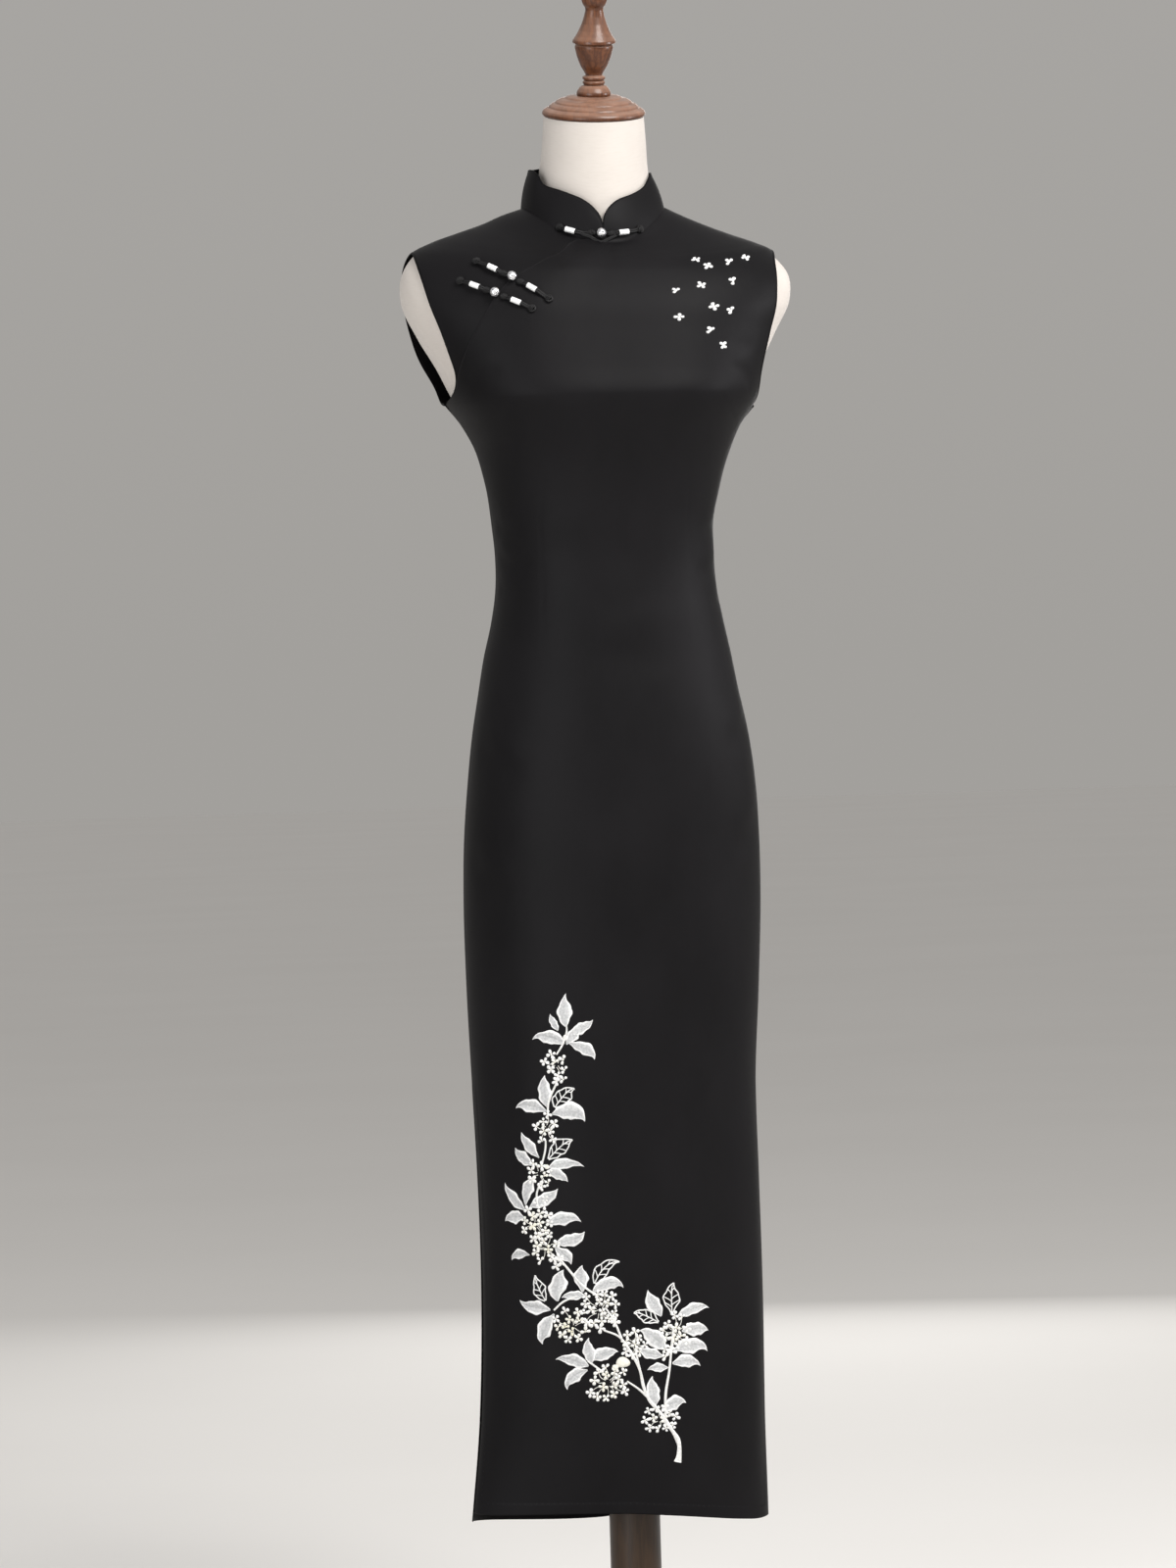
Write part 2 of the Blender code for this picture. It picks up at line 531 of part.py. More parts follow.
def make_form(body, finish):
    """The limbless form: the body surface less its ease, and a plain neck."""
    neck = Surface(BODY[-1:] + NECK)
    rows = spread_rows((FORM_BOTTOM, WAIST, 6, False), (WAIST, UNDERARM, 5, False),
                       (UNDERARM, SHOULDER_TIP, 9, False), (SHOULDER_TIP, NECKLINE, 4, False))
    rings = []
    for up in rows:
        angles = body.even_angles(0.0, 360.0, up, FORM_COLUMNS + 1)[:-1]
        ring = body.raised(angles, up, -body.ring(up).ease)
        rings.append(ring)
    bottom = rings[0].copy()
    bottom[:, :2] += (rings[0][:, :2].mean(axis=0) - bottom[:, :2]) * FORM_DRAWN_IN
    bottom[:, 2] = FORM_BOTTOM - FORM_ROUNDING
    rings.insert(0, bottom)
    for step in range(1, 8):
        up = NECKLINE + (NECK[-1].up - NECKLINE) * step / 7
        angles = neck.even_angles(0.0, 360.0, up, FORM_COLUMNS + 1)[:-1]
        rings.append(neck.points(angles, up))
    slope = math.tan(math.radians(NECK_TILT))
    rings[-1][:, 2] = NECK_TOP[2] + (rings[-1][:, 1] - NECK_TOP[1]) * slope
    return closed_stack("form_body", rings, finish)


def make_stand(wood_dark, wood_red):
    turned("base", BASE, wood_dark, 32)
    foot, top = BASE_TOP + SEAM_GAP, FORM_BOTTOM - FORM_ROUNDING - SEAM_GAP
    turned("column", [Turning(COLUMN_RADIUS, foot), Turning(COLUMN_RADIUS, top)], wood_dark)
    cap = turned("neck_cap", NECK_CAP, wood_red, 24)
    ball = [Turning(FINIAL_BALL.radius * math.sin(turn), FINIAL_BALL.height
                    - FINIAL_BALL.radius * math.cos(turn))
            for turn in np.radians([46, 68, 90, 112, 134, 156])]
    finial = turned("finial", FINIAL + ball, wood_red, 16)
    lean = math.radians(NECK_TILT)
    for piece, height in ((cap, SEAM_GAP), (finial, NECK_CAP[-1].height + 2 * SEAM_GAP)):
        piece.rotation_euler = (lean, 0.0, 0.0)
        piece.location = (NECK_TOP[0], NECK_TOP[1] - height * math.sin(lean),
                          NECK_TOP[2] + height * math.cos(lean))


# ---------------------------------------------------------------- frog fastenings


class FrogLine:
    """The middle line of a frog, laid on cloth: places are metres from its ball."""

    def __init__(self, place):
        self.shares = np.linspace(0.0, 1.0, 121)
        line = np.array([place(share, 0.0) for share in self.shares])
        run = np.concatenate([[0.0], np.cumsum(np.linalg.norm(np.diff(line, axis=0), axis=1))])
        self.run = run - run[-1] / 2
        self.place = place

    def frame(self, along):
        """Point on the cloth, and the directions along, out of and across the frog."""
        share = float(np.interp(along, self.run, self.shares))
        point, out = self.place(share, 0.0), self.place(share, 0.001)
        ahead = self.place(min(share + 0.01, 1.0), 0.0) - self.place(max(share - 0.01, 0.0), 0.0)
        ahead /= np.linalg.norm(ahead)
        out = out - point
        out -= ahead * out.dot(ahead)
        out /= np.linalg.norm(out)
        return point, ahead, out, np.cross(out, ahead)

    def end(self, side):
        return self.run[-1] if side > 0 else -self.run[0]


def chest_line(body, frog):
    """The frog lies across the lap edge, on the level of the front's outer face."""
    level = CLOTH_LIFT + 2 * WALL + LAP_CLEARANCE

    def place(share, lift):
        angle = frog.from_angle + (frog.to_angle - frog.from_angle) * share
        up = frog.from_up + (frog.to_up - frog.from_up) * share
        return body.raised([angle], up, level + lift)[0]

    return FrogLine(place)


def neck_line(body):
    """The frog lies round the front of the collar, low down."""
    def place(share, lift):
        angle = NECK_FROG.from_angle + (NECK_FROG.to_angle - NECK_FROG.from_angle) * share
        height = NECK_FROG.from_up + NECK_FROG_RISE * (1 - (2 * share - 1) ** 2)
        point = collar_point(body, angle, height, COLLAR_WALL)
        ahead = collar_point(body, angle + 1.0, height, COLLAR_WALL) - point
        above = collar_point(body, angle, height + 0.05, COLLAR_WALL) - point
        out = np.cross(ahead, above)
        return point + out * lift / np.linalg.norm(out)

    return FrogLine(place)


def ring_tube(name, centres, outs, radius, sides, finish):
    """A closed loop of round cord through these points."""
    centres, outs = np.array(centres), np.array(outs)
    ahead = np.roll(centres, -1, axis=0) - np.roll(centres, 1, axis=0)
    across = np.cross(ahead, outs)
    across /= np.linalg.norm(across, axis=1, keepdims=True)
    count, points, faces = len(centres), [], []
    for centre, out, side in zip(centres, outs, across):
        for turn in np.arange(sides) * 2 * math.pi / sides:
            points.append(centre + radius * (out * math.cos(turn) + side * math.sin(turn)))
    for here in range(count):
        there = (here + 1) % count
        for step in range(sides):
            after = (step + 1) % sides
            faces.append([here * sides + step, here * sides + after,
                          there * sides + after, there * sides + step])
    return add_object(name, points, faces, finish, 80.0)


def bead_place(name, side):
    return NECK_BEAD_PLACE if name.startswith("frog_neck") and side < 0 else BEAD_PLACE


def cord_lift(along, bead):
    """Height of the cord's middle above the cloth: highest in its bead."""
    low = STRAND_RADIUS + SEAM_GAP
    past = max(0.0, abs(along - bead) - CORD_RISE[0])
    return low + (BEAD_LIFT - low) * math.exp(-(past / CORD_RISE[1]) ** 2 / 2)


def make_frog_cord(name, line, side, finish):
    """One half of the cord: two strands from the ball, which part in a small eye."""
    near, far = BALL_RADIUS + 0.0012, line.end(side)
    eye, bead = far - LOOP_RADIUS, bead_place(name, side)
    route = [(near, 0.0)]
    for along in np.linspace(near + STRAND_APART, eye - LOOP_RADIUS * 1.05, 7):
        route.append((along, STRAND_APART))
    for turn in np.radians([150, 120, 90, 60, 30]):
        route.append((eye + LOOP_RADIUS * math.cos(turn), LOOP_RADIUS * math.sin(turn)))
    route.append((far, 0.0))
    route += [(along, -apart) for along, apart in reversed(route[1:-1])]
    centres, outs = [], []
    for along, apart in route:
        point, _, out, across = line.frame(side * along)
        centres.append(point + out * cord_lift(along, bead) + across * apart)
        outs.append(out)
    return ring_tube(name, centres, outs, STRAND_RADIUS, 6, finish)


def make_frog_bead(name, line, side, finish):
    """A short tube round both strands."""
    point, ahead, out, across = line.frame(side * bead_place(name, side))
    middle = point + out * BEAD_LIFT
    rings = []
    for radius, end in ((BEAD_RADIUS, -1), (BEAD_RADIUS, 1), (BEAD_BORE, 1), (BEAD_BORE, -1)):
        for turn in np.arange(12) * 2 * math.pi / 12:
            rings.append(middle + ahead * end * BEAD_LENGTH / 2
                         + radius * (out * math.cos(turn) + across * math.sin(turn)))
    faces = []
    for ring in range(4):
        for step in range(12):
            after, above = (step + 1) % 12, (ring + 1) % 4
            faces.append([ring * 12 + step, above * 12 + step, above * 12 + after, ring * 12 + after])
    return add_object(name, rings, faces, finish)


def make_frog_ball(name, line, finish):
    """A faceted metal ball."""
    point, ahead, out, across = line.frame(0.0)
    bpy.ops.mesh.primitive_ico_sphere_add(subdivisions=2, radius=BALL_RADIUS,
                                          location=point + out * (BALL_RADIUS + SEAM_GAP))
    ball = bpy.context.object
    ball.name = name
    ball.data.materials.append(finish)
    return ball


def make_frogs(body, cord, metal, pearl):
    lines = [(frog.name, chest_line(body, frog)) for frog in CHEST_FROGS]
    lines.append((NECK_FROG.name, neck_line(body)))
    for name, line in lines:
        make_frog_ball(name + "_ball", line, metal)
        for side, end in ((-1, "right"), (1, "left")):
            make_frog_cord(f"{name}_cord_{end}", line, side, cord)
            make_frog_bead(f"{name}_bead_{end}", line, side, pearl)


def build():
    clear_scene()
    satin = material("black_satin", (0.018, 0.015, 0.018), 0.42)
    linen = material("cream_form", (0.80, 0.74, 0.62), 0.85)
    body = Surface(BODY)
    make_front(body, satin)
    make_under_lap(body, satin)
    make_back(body, satin)
    make_collar(body, satin)
    make_form(body, linen)
    make_stand(material("dark_wood", (0.035, 0.020, 0.012), 0.45),
               material("red_wood", (0.16, 0.055, 0.025), 0.35))
    make_frogs(body, material("frog_cord", (0.012, 0.011, 0.012), 0.55),
               material("silver_ball", (0.80, 0.80, 0.82), 0.22, 1.0),
               material("white_bead", (0.85, 0.85, 0.85), 0.25))


build()
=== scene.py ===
"""The looks of a sleeveless cheongsam dress on a limbless dress form with a turned stand.

Metres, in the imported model's frame: +Z is up, the dress faces -Y and its own left side
is at +X.  The body surface and the cuts of the cloth repeat the ones that the solids
were made with.  On the cloth a place is (u, up): u is metres round the body from the
middle of the front or the back, and up counts the way up the side of the body and then
in along the shoulder.
"""
import math
from collections import namedtuple

import bpy
import numpy as np
from mathutils import Matrix


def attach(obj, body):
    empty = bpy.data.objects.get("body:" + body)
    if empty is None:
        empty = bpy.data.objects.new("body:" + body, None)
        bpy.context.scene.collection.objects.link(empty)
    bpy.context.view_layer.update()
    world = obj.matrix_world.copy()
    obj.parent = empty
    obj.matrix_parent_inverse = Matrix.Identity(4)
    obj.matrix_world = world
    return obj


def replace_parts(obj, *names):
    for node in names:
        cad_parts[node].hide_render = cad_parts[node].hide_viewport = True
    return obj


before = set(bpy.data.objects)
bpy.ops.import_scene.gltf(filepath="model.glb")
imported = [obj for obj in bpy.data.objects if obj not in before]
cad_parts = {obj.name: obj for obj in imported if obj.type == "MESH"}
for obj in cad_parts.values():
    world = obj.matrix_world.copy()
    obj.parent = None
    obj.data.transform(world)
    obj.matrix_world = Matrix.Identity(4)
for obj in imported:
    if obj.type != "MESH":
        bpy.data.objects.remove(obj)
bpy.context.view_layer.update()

# ---- sizes of the solids
WALL = 0.0012                 # the solids' cloth walls; the cloth here is finer
SEAM_GAP = 0.0003
CLOTH_LIFT = 0.0005
CLOTH = 0.0008                # thickness of the cloth here
HEM = 0.162
SLIT_TOP = 0.612
FORM_BOTTOM = 0.800
WAIST = 1.150
UNDERARM = 1.305
BUST = 1.309
SHOULDER_TIP = 1.457
NECKLINE = 1.570
FORM_ROUNDING = 0.008
NECK_TOP = (0.0, 0.009, 1.596)
NECK_TILT = 12.2
COLUMN_RADIUS = 0.026
BASE_TOP = 0.045
SLIT_OPENING = 0.010
SLIT_SHAPE = 0.8
BACK_WIDER = 0.001
FRONT_HEM_DROP, FRONT_CORNER_LIFT = 0.0028, 0.0030
BACK_HEM_DROP = 0.0095
BUST_APART = 0.184
BUST_DEPTH = 0.0145
BUST_SPREAD = (0.054, 0.074, 0.029)
BUST_CRISP = 1.4
BUST_TURN = 0.008
BUST_BRIDGE = 0.42
BUST_FADE = 0.45
Armhole = namedtuple("Armhole", "depth fullest shoulder")
ARMHOLE_FRONT_RIGHT = Armhole(21.3, 0.30, 2.0)
ARMHOLE_FRONT_LEFT = Armhole(20.4, 0.42, 3.2)
ARMHOLE_BACK = Armhole(18.0, 0.30, 2.0)
ARMHOLE_CORNER = 3.5
ARMHOLE_GAPE = 0.0115
GAPE_MIDDLE = 1.360
GAPE_SPREAD = 0.035
LAP_TUCK = 12.0
LAP_CLEARANCE = 0.0009
UNDER_LAP_BOTTOM = WAIST + (UNDERARM - WAIST) * 4 / 7
LAP_FADE = 30.4
LAP_RUN = 0.05
COLLAR_WALL = 0.0018
COLLAR_TOP_SIDE = 1.5390
COLLAR_TOP_FRONT = 1.5045
COLLAR_TOP_BACK = 1.5485
COLLAR_TOP_MIDDLE = (-0.0050, 0.0145)
COLLAR_TOP_HALF = 0.0610
COLLAR_TOP_DEPTH = 0.0612
COLLAR_LEAN = 0.0025
COLLAR_DIPS = ((211.0, 4.5, 13.5, 0.0072), (322.0, 15.0, 9.0, 0.0042))
COLLAR_BOW = 0.0015
COLLAR_END = 0.37
COLLAR_ROUND = 0.026
COLLAR_MEETING = 0.35
COLLAR_SINK = 0.0024          # the collar's foot is sewn into the neckline
FRONT_ANGLE = 270.0
BACK_ANGLE = 90.0
RIGHT_SEAM = 180.0
LEFT_SEAM = 360.0

Ring = namedtuple("Ring", "up side_z front_z back_z centre_x centre_y"
                          " half_width front back squareness ease left_drop")


def rings(*rows):
    """Rings from rows in millimetres, with a plain squareness; a row of nine lies level."""
    rows = [row if len(row) > 9 else row[:1] * 3 + row for row in rows]
    return [Ring(*(value if name == "squareness" else value / 1000
                   for name, value in zip(Ring._fields, row))) for row in rows]


def metres(*rows):
    """Rows of millimetres as rows of metres."""
    return [tuple(value / 1000 for value in row) for row in rows]


BODY = rings(
    (162, 168, 176, 156.5, -13, 6, 151, 66, 78, 1.8, 4, 7.5),
    (260, -8, 6, 145.5, 77, 88, 1.84, 4, 7),
    (400, -4.5, 6, 143, 89, 100, 1.9, 4, 6),
    (520, -5.5, 6, 143, 98, 109, 1.96, 4, 5),
    (612, -7.5, 6, 144, 103, 115, 2.02, 4, 4),
    (710, -6, 6, 148.3, 108, 120, 2.08, 5, 3),
    (800, -4, 6, 150.5, 111, 124, 2.12, 6, 2),
    (860, -2.8, 6, 149.4, 112, 125, 2.14, 5, 1),
    (913, -1.6, 6, 145.8, 111, 124, 2.16, 4, 0),
    (968, -1.8, 5, 139, 108, 119, 2.16, 3, 0),
    (1010, -2.6, 4, 131, 104, 112, 2.16, 2, 0),
    (1045, -2.6, 4, 124.7, 100, 105, 2.16, 2, 0),
    (1082, -2, 3, 116.5, 96, 98, 2.16, 2, 0),
    (1114, -2.4, 2, 111.2, 92, 93, 2.16, 2, 0),
    (1150, -3, 1, 110.1, 90, 90, 2.16, 2, 0),
    (1181, -4.3, 0, 111.5, 92, 90, 2.18, 2, 0),
    (1213, -2.8, 0, 116.7, 96, 91, 2.2, 2, 1),
    (1238, -2, 0, 122.2, 101, 93, 2.22, 2, 2),
    (1258, 1257.5, 1258, 1258, -1.7, 0, 128.7, 106, 95, 2.24, 3, 2.5),
    (1283, 1281, 1283, 1283, -3.5, 0, 140.2, 112, 97, 2.3, 4, 4),
    (1305, 1302.5, 1305, 1305, -4, 0, 155, 115, 99, 2.38, 6, 4.5),
    (1335, 1333.5, 1335, 1335, -4.8, 1, 170, 112.5, 101, 2.45, 7, 3.5),
    (1370, -5, 3, 187, 109.5, 103, 2.45, 4.5, 2),
    (1405, 1406.5, 1402, 1405, -4, 5, 201, 105, 103, 2.4, 2, 2),
    (1430, 1433, 1423, 1430, -4, 6, 200.4, 97, 102, 2.32, 2, 2),
    (1447, 1448.2, 1435, 1447, -5.5, 7, 191.5, 91, 99, 2.25, 2, 2),
    (1457, 1456.2, 1441, 1457, -6, 8, 184, 87, 96, 2.2, 2, 2),
    (1474, 1464.3, 1446.5, 1467, -4.2, 10, 168, 83, 91, 2.15, 2, 3),
    (1502, 1474.3, 1453, 1479, -3.6, 12, 140, 77, 85, 2.1, 2, 3),
    (1530, 1484.5, 1458, 1491, -4, 14, 112, 73, 79, 2.1, 2, 2),
    (1552, 1494, 1461, 1502, -4.5, 15, 90, 70, 74, 2.1, 2, 1.5),
    (1570, 1501.5, 1464, 1511, -2.8, 15, 70.9, 67, 68, 2.1, 2, 0.5),
)
NECK = rings(
    (1580, 1510.5, 1480, 1518, -1, 16, 64, 60, 61, 2.05, 0, 0),
    (1592, 1521.5, 1497, 1528, -0.6, 16.5, 58.2, 56.5, 57, 2, 0, 0),
    (1610, 1542, 1522, 1548, -0.8, 15, 55.4, 55, 55, 2, 0, 0),
    (1635, 1566, 1552, 1576, 0, 12, 53, 53, 53, 2, 0, 0),
    (1660, 1596, 1585, 1607, 0, 9, 51, 51, 51, 2, 0, 0),
)
Edge = namedtuple("Edge", "up angle")
LAP = [Edge(*row) for row in (
    (1.318, 199.0), (1.342, 205.5), (1.366, 211.0), (1.390, 215.5), (1.413, 218.8),
    (1.432, 222.8), (1.447, 229.0), (1.470, 237.0), (1.500, 241.0), (1.530, 244.5),
    (1.552, 250.5), (1.570, 264.0))]
# the turnings' outlines: (radius, height) from the foot up
NECK_CAP = metres(
    (50.5, 0), (52.6, 1.2), (52.7, 3.4), (51.2, 6), (48.2, 7.8), (46.2, 8.3), (45.2, 10.2),
    (42.6, 12.2), (39.8, 12.9), (38.6, 14.8), (34.6, 17), (29.6, 17.8), (28, 19.4), (22.8, 20.6))
FINIAL = metres(
    (17, 0), (17.6, 1.8), (17, 4.2), (14.6, 7.8), (12.8, 9.6), (9.8, 10.6), (11.4, 12.1),
    (11.4, 14.1), (9.8, 15.3), (11.8, 16.7), (11.6, 18.9), (8.4, 20.6), (9.4, 22.8), (13.6, 29.6),
    (17.1, 38.4), (19.6, 48), (19.6, 50.8), (18.8, 52), (22.2, 53.6), (21.6, 56.6), (18.8, 60.5),
    (15.8, 66), (12.8, 73), (10.4, 80.5), (9, 87))
FINIAL_BALL = (0.0132, 0.0988)
BASE = metres(
    (208, 0), (210, 2), (210, 16), (206, 22), (196, 25), (60, 29), (45, 34), (40, 45))
Frog = namedtuple("Frog", "name from_angle from_up to_angle to_up")
CHEST_FROGS = [
    Frog("frog_chest_upper", 207.7, 1.4503, 238.7, 1.4035),
    Frog("frog_chest_lower", 205.8, 1.4258, 232.2, 1.3934),
]
NECK_FROG = Frog("frog_neck", 230.5, 0.09, 304.5, 0.09)
NECK_FROG_RISE = 0.075
BALL_RADIUS = 0.0050
STRAND_RADIUS = 0.0008
STRAND_APART = 0.00095
BEAD_LENGTH = 0.0105
BEAD_RADIUS = 0.0028
BEAD_BORE = 0.0021
BEAD_PLACE = 0.023
NECK_BEAD_PLACE = 0.031
BEAD_LIFT = 0.0034
CORD_RISE = (0.0055, 0.0035)

# ---- meshes


def quads(rows, columns, first=0, flip=False, closed=False):
    """Quads over a grid of points, as an array of four indices each."""
    row, column = np.meshgrid(np.arange(rows - 1), np.arange(columns - (not closed)),
                              indexing="ij")
    after = (column + 1) % columns
    made = np.stack([row * columns + column, row * columns + after,
                     (row + 1) * columns + after, (row + 1) * columns + column], axis=-1)
    made = made.reshape(-1, 4) + first
    return made[:, ::-1] if flip else made


def wrapped(rows, sides, end="flat"):
    """Faces round a stack of rings: with flat ends, with a tip over the last ring, or with
    the last ring joined to the first."""
    if end == "joined":
        return (quads(rows + 1, sides, closed=True) % (rows * sides)).tolist()
    faces, last = quads(rows, sides, closed=True).tolist(), (rows - 1) * sides
    foot = list(range(sides))[::-1]
    if end == "tip":
        fan = [[last + k, last + (k + 1) % sides, last + sides] for k in range(sides)]
        return faces + fan + [foot]
    return faces + [foot, list(range(last, last + sides))]


def rim_of(rows, columns, inward=0):
    """Indices round a grid's edge, or with inward 1 those of the points beside them."""
    grid = np.arange(rows * columns).reshape(rows, columns)
    return np.concatenate([grid[inward], grid[1:, -1 - inward], grid[-1 - inward, -2::-1],
                           grid[-2:0:-1, inward]])


def unit(vectors):
    return vectors / np.linalg.norm(vectors, axis=-1, keepdims=True)


def run_along(line):
    """Metres along a line at each of its points."""
    return np.concatenate([[0.0], np.cumsum(np.linalg.norm(np.diff(line, axis=0), axis=1))])


def read_at(places, run, rows):
    """Rows read off between those given, at these places of their run."""
    return np.stack([np.interp(places, run, column) for column in np.asarray(rows).T], axis=1)


def circle(sides):
    return np.arange(sides) * 2 * math.pi / sides


def add_mesh(name, points, faces, finish, sharp=40.0, attributes=None, smooth=True):
    """An object of these points and faces, riding on the object's one body."""
    mesh = bpy.data.meshes.new(name)
    mesh.from_pydata(np.asarray(points).tolist(), [], [list(map(int, face)) for face in faces])
    mesh.materials.append(finish)
    for key, values in (attributes or {}).items():
        layer = mesh.attributes.new(key, "FLOAT_VECTOR", "POINT")
        layer.data.foreach_set("vector", np.asarray(values, dtype=np.float32).ravel())
    if smooth:
        mesh.shade_smooth()
        mesh.set_sharp_from_angle(angle=math.radians(sharp))
    made = bpy.data.objects.new(name, mesh)
    bpy.context.collection.objects.link(made)
    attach(made, "root")
    return made


class Bundle:
    """Gathers small closed meshes, which become one piece."""

    def __init__(self):
        self.points, self.faces, self.marks, self.count = [], [], [], 0

    def add(self, points, faces, marks):
        points = np.asarray(points)
        self.points.append(points)
        self.marks.append(np.broadcast_to(marks, (len(points), 3)))
        self.faces += [[index + self.count for index in face] for face in faces]
        self.count += len(points)

    def piece(self, name, finish, slot, sharp=60.0):
        return add_mesh(name, np.concatenate(self.points), self.faces, finish, sharp,
                        {"thread": np.concatenate(self.marks)})


def tube(centres, outs, half_out, half_side, sides, closed=False, twist=None):
    """Points and faces of a round or oval tube; its two half sizes may vary along it."""
    centres, outs = np.asarray(centres), np.asarray(outs)
    if closed:
        ahead = np.roll(centres, -1, axis=0) - np.roll(centres, 1, axis=0)
    else:
        ahead = np.gradient(centres, axis=0)
    side = unit(np.cross(ahead, outs))
    turn, count = circle(sides), len(centres)
    swell = np.ones((count, sides)) if twist is None else twist(turn)
    half_out = np.broadcast_to(half_out, count)[:, None] * swell
    half_side = np.broadcast_to(half_side, count)[:, None] * swell
    points = (centres[:, None, :]
              + outs[:, None, :] * (half_out * np.cos(turn))[:, :, None]
              + side[:, None, :] * (half_side * np.sin(turn))[:, :, None])
    return points.reshape(-1, 3), wrapped(count, sides, "joined" if closed else "flat")


def smooth_line(points, count, closed=False):
    """A rounded line (Catmull-Rom) through these points, in count even steps."""
    points = np.asarray(points, dtype=float)
    if closed:
        around = np.concatenate([points[-1:], points, points[:2]])
    else:
        around = np.concatenate([2 * points[:1] - points[1:2], points,
                                 2 * points[-1:] - points[-2:-1]])
    pieces = []
    share = np.linspace(0, 1, 24, endpoint=False)[:, None]
    for start in range(len(around) - 3):
        a, b, c, d = around[start:start + 4]
        pieces.append(0.5 * (2 * b + (c - a) * share + (2 * a - 5 * b + 4 * c - d) * share ** 2
                             + (3 * b - a - 3 * c + d) * share ** 3))
    line = np.concatenate(pieces + [around[-2:-1]])
    run = run_along(line)
    return read_at(np.linspace(0, run[-1], count, endpoint=not closed), run, line)


def soft_step(low, high, value):
    share = np.clip((value - low) / (high - low), 0, 1)
    return share * share * (3 - 2 * share)


# ---- the body surface


class Smooth:
    """A smooth run through a table whose first column grows from row to row."""

    def __init__(self, rows):
        self.knots = np.array([row[0] for row in rows])
        self.rows = np.array([row[1:] for row in rows])
        self.slopes = np.gradient(self.rows, self.knots, axis=0)

    def at(self, place):
        low = int(np.clip(np.searchsorted(self.knots, place) - 1, 0, len(self.knots) - 2))
        span = self.knots[low + 1] - self.knots[low]
        t = (place - self.knots[low]) / span
        start = self.rows[low] * (1 + 2 * t) * (1 - t) ** 2
        start = start + self.slopes[low] * span * t * (1 - t) ** 2
        end = self.rows[low + 1] * (3 - 2 * t) * t ** 2
        return start + end - self.slopes[low + 1] * span * (1 - t) * t ** 2


class Surface:
    """A smooth skin through a table of rings."""

    def __init__(self, rings):
        self.table = Smooth(rings)

    def ring(self, up):
        return Ring(up, *self.table.at(up))

    def points(self, angles, up):
        row = self.ring(up)
        turn = np.radians(angles)
        ahead = np.sin(turn) < 0
        depth = np.where(ahead, row.front, row.back)
        across, along = np.cos(turn), np.sin(turn)
        radius = ((np.abs(across) / row.half_width) ** row.squareness
                  + (np.abs(along) / depth) ** row.squareness) ** (-1 / row.squareness)
        x = row.centre_x + radius * across
        y = row.centre_y + radius * along
        end_z = np.where(ahead, row.front_z, row.back_z)
        z = row.side_z + (end_z - row.side_z) * (radius * along / depth) ** 2
        z = z - row.left_drop * radius * across / row.half_width
        y = y - bust_fullness(x - row.centre_x, z) * soft_step(0, BUST_FADE, -along)
        return np.stack([x, y, z], axis=1)

    def normals(self, angles, up):
        angles = np.asarray(angles, dtype=float)
        round_it = self.points(angles + 0.05, up) - self.points(angles - 0.05, up)
        up_it = self.points(angles, up + 0.0005) - self.points(angles, up - 0.0005)
        return unit(np.cross(round_it, up_it))

    def raised(self, angles, up, lift):
        lift = np.broadcast_to(lift, np.shape(angles))[:, None]
        return self.points(angles, up) + self.normals(angles, up) * lift

    def run(self, angles, up):
        """Metres along the ring at each of these growing angles, from the first one."""
        return run_along(self.points(angles, up))

    def even_angles(self, first, last, up, count):
        fine = np.linspace(first, last, 241)
        run = self.run(fine, up)
        return np.interp(np.linspace(0.0, run[-1], count), run, fine)

    def u_of(self, angles, up, middle):
        """Metres round the ring from the angle middle."""
        fine = middle + np.linspace(-90.0, 90.0, 361)
        run = self.run(fine, up)
        return np.interp(angles, fine, run - run[len(run) // 2])


def bust_fullness(x, z):
    over = np.clip(z - BUST, 0, None)
    above = np.exp(-(np.hypot(over, BUST_TURN) - BUST_TURN) / BUST_SPREAD[1])
    below = np.exp(-(np.clip(BUST - z, 0, None) / BUST_SPREAD[2]) ** BUST_CRISP / 2)
    lobes = BUST_BRIDGE * np.exp(-(x / BUST_SPREAD[0]) ** 2 / 2)
    for side in (-1, 1):
        lobes = lobes + np.exp(-((x - side * BUST_APART / 2) / BUST_SPREAD[0]) ** 2 / 2)
    return BUST_DEPTH * above * below * lobes


body = Surface(BODY)


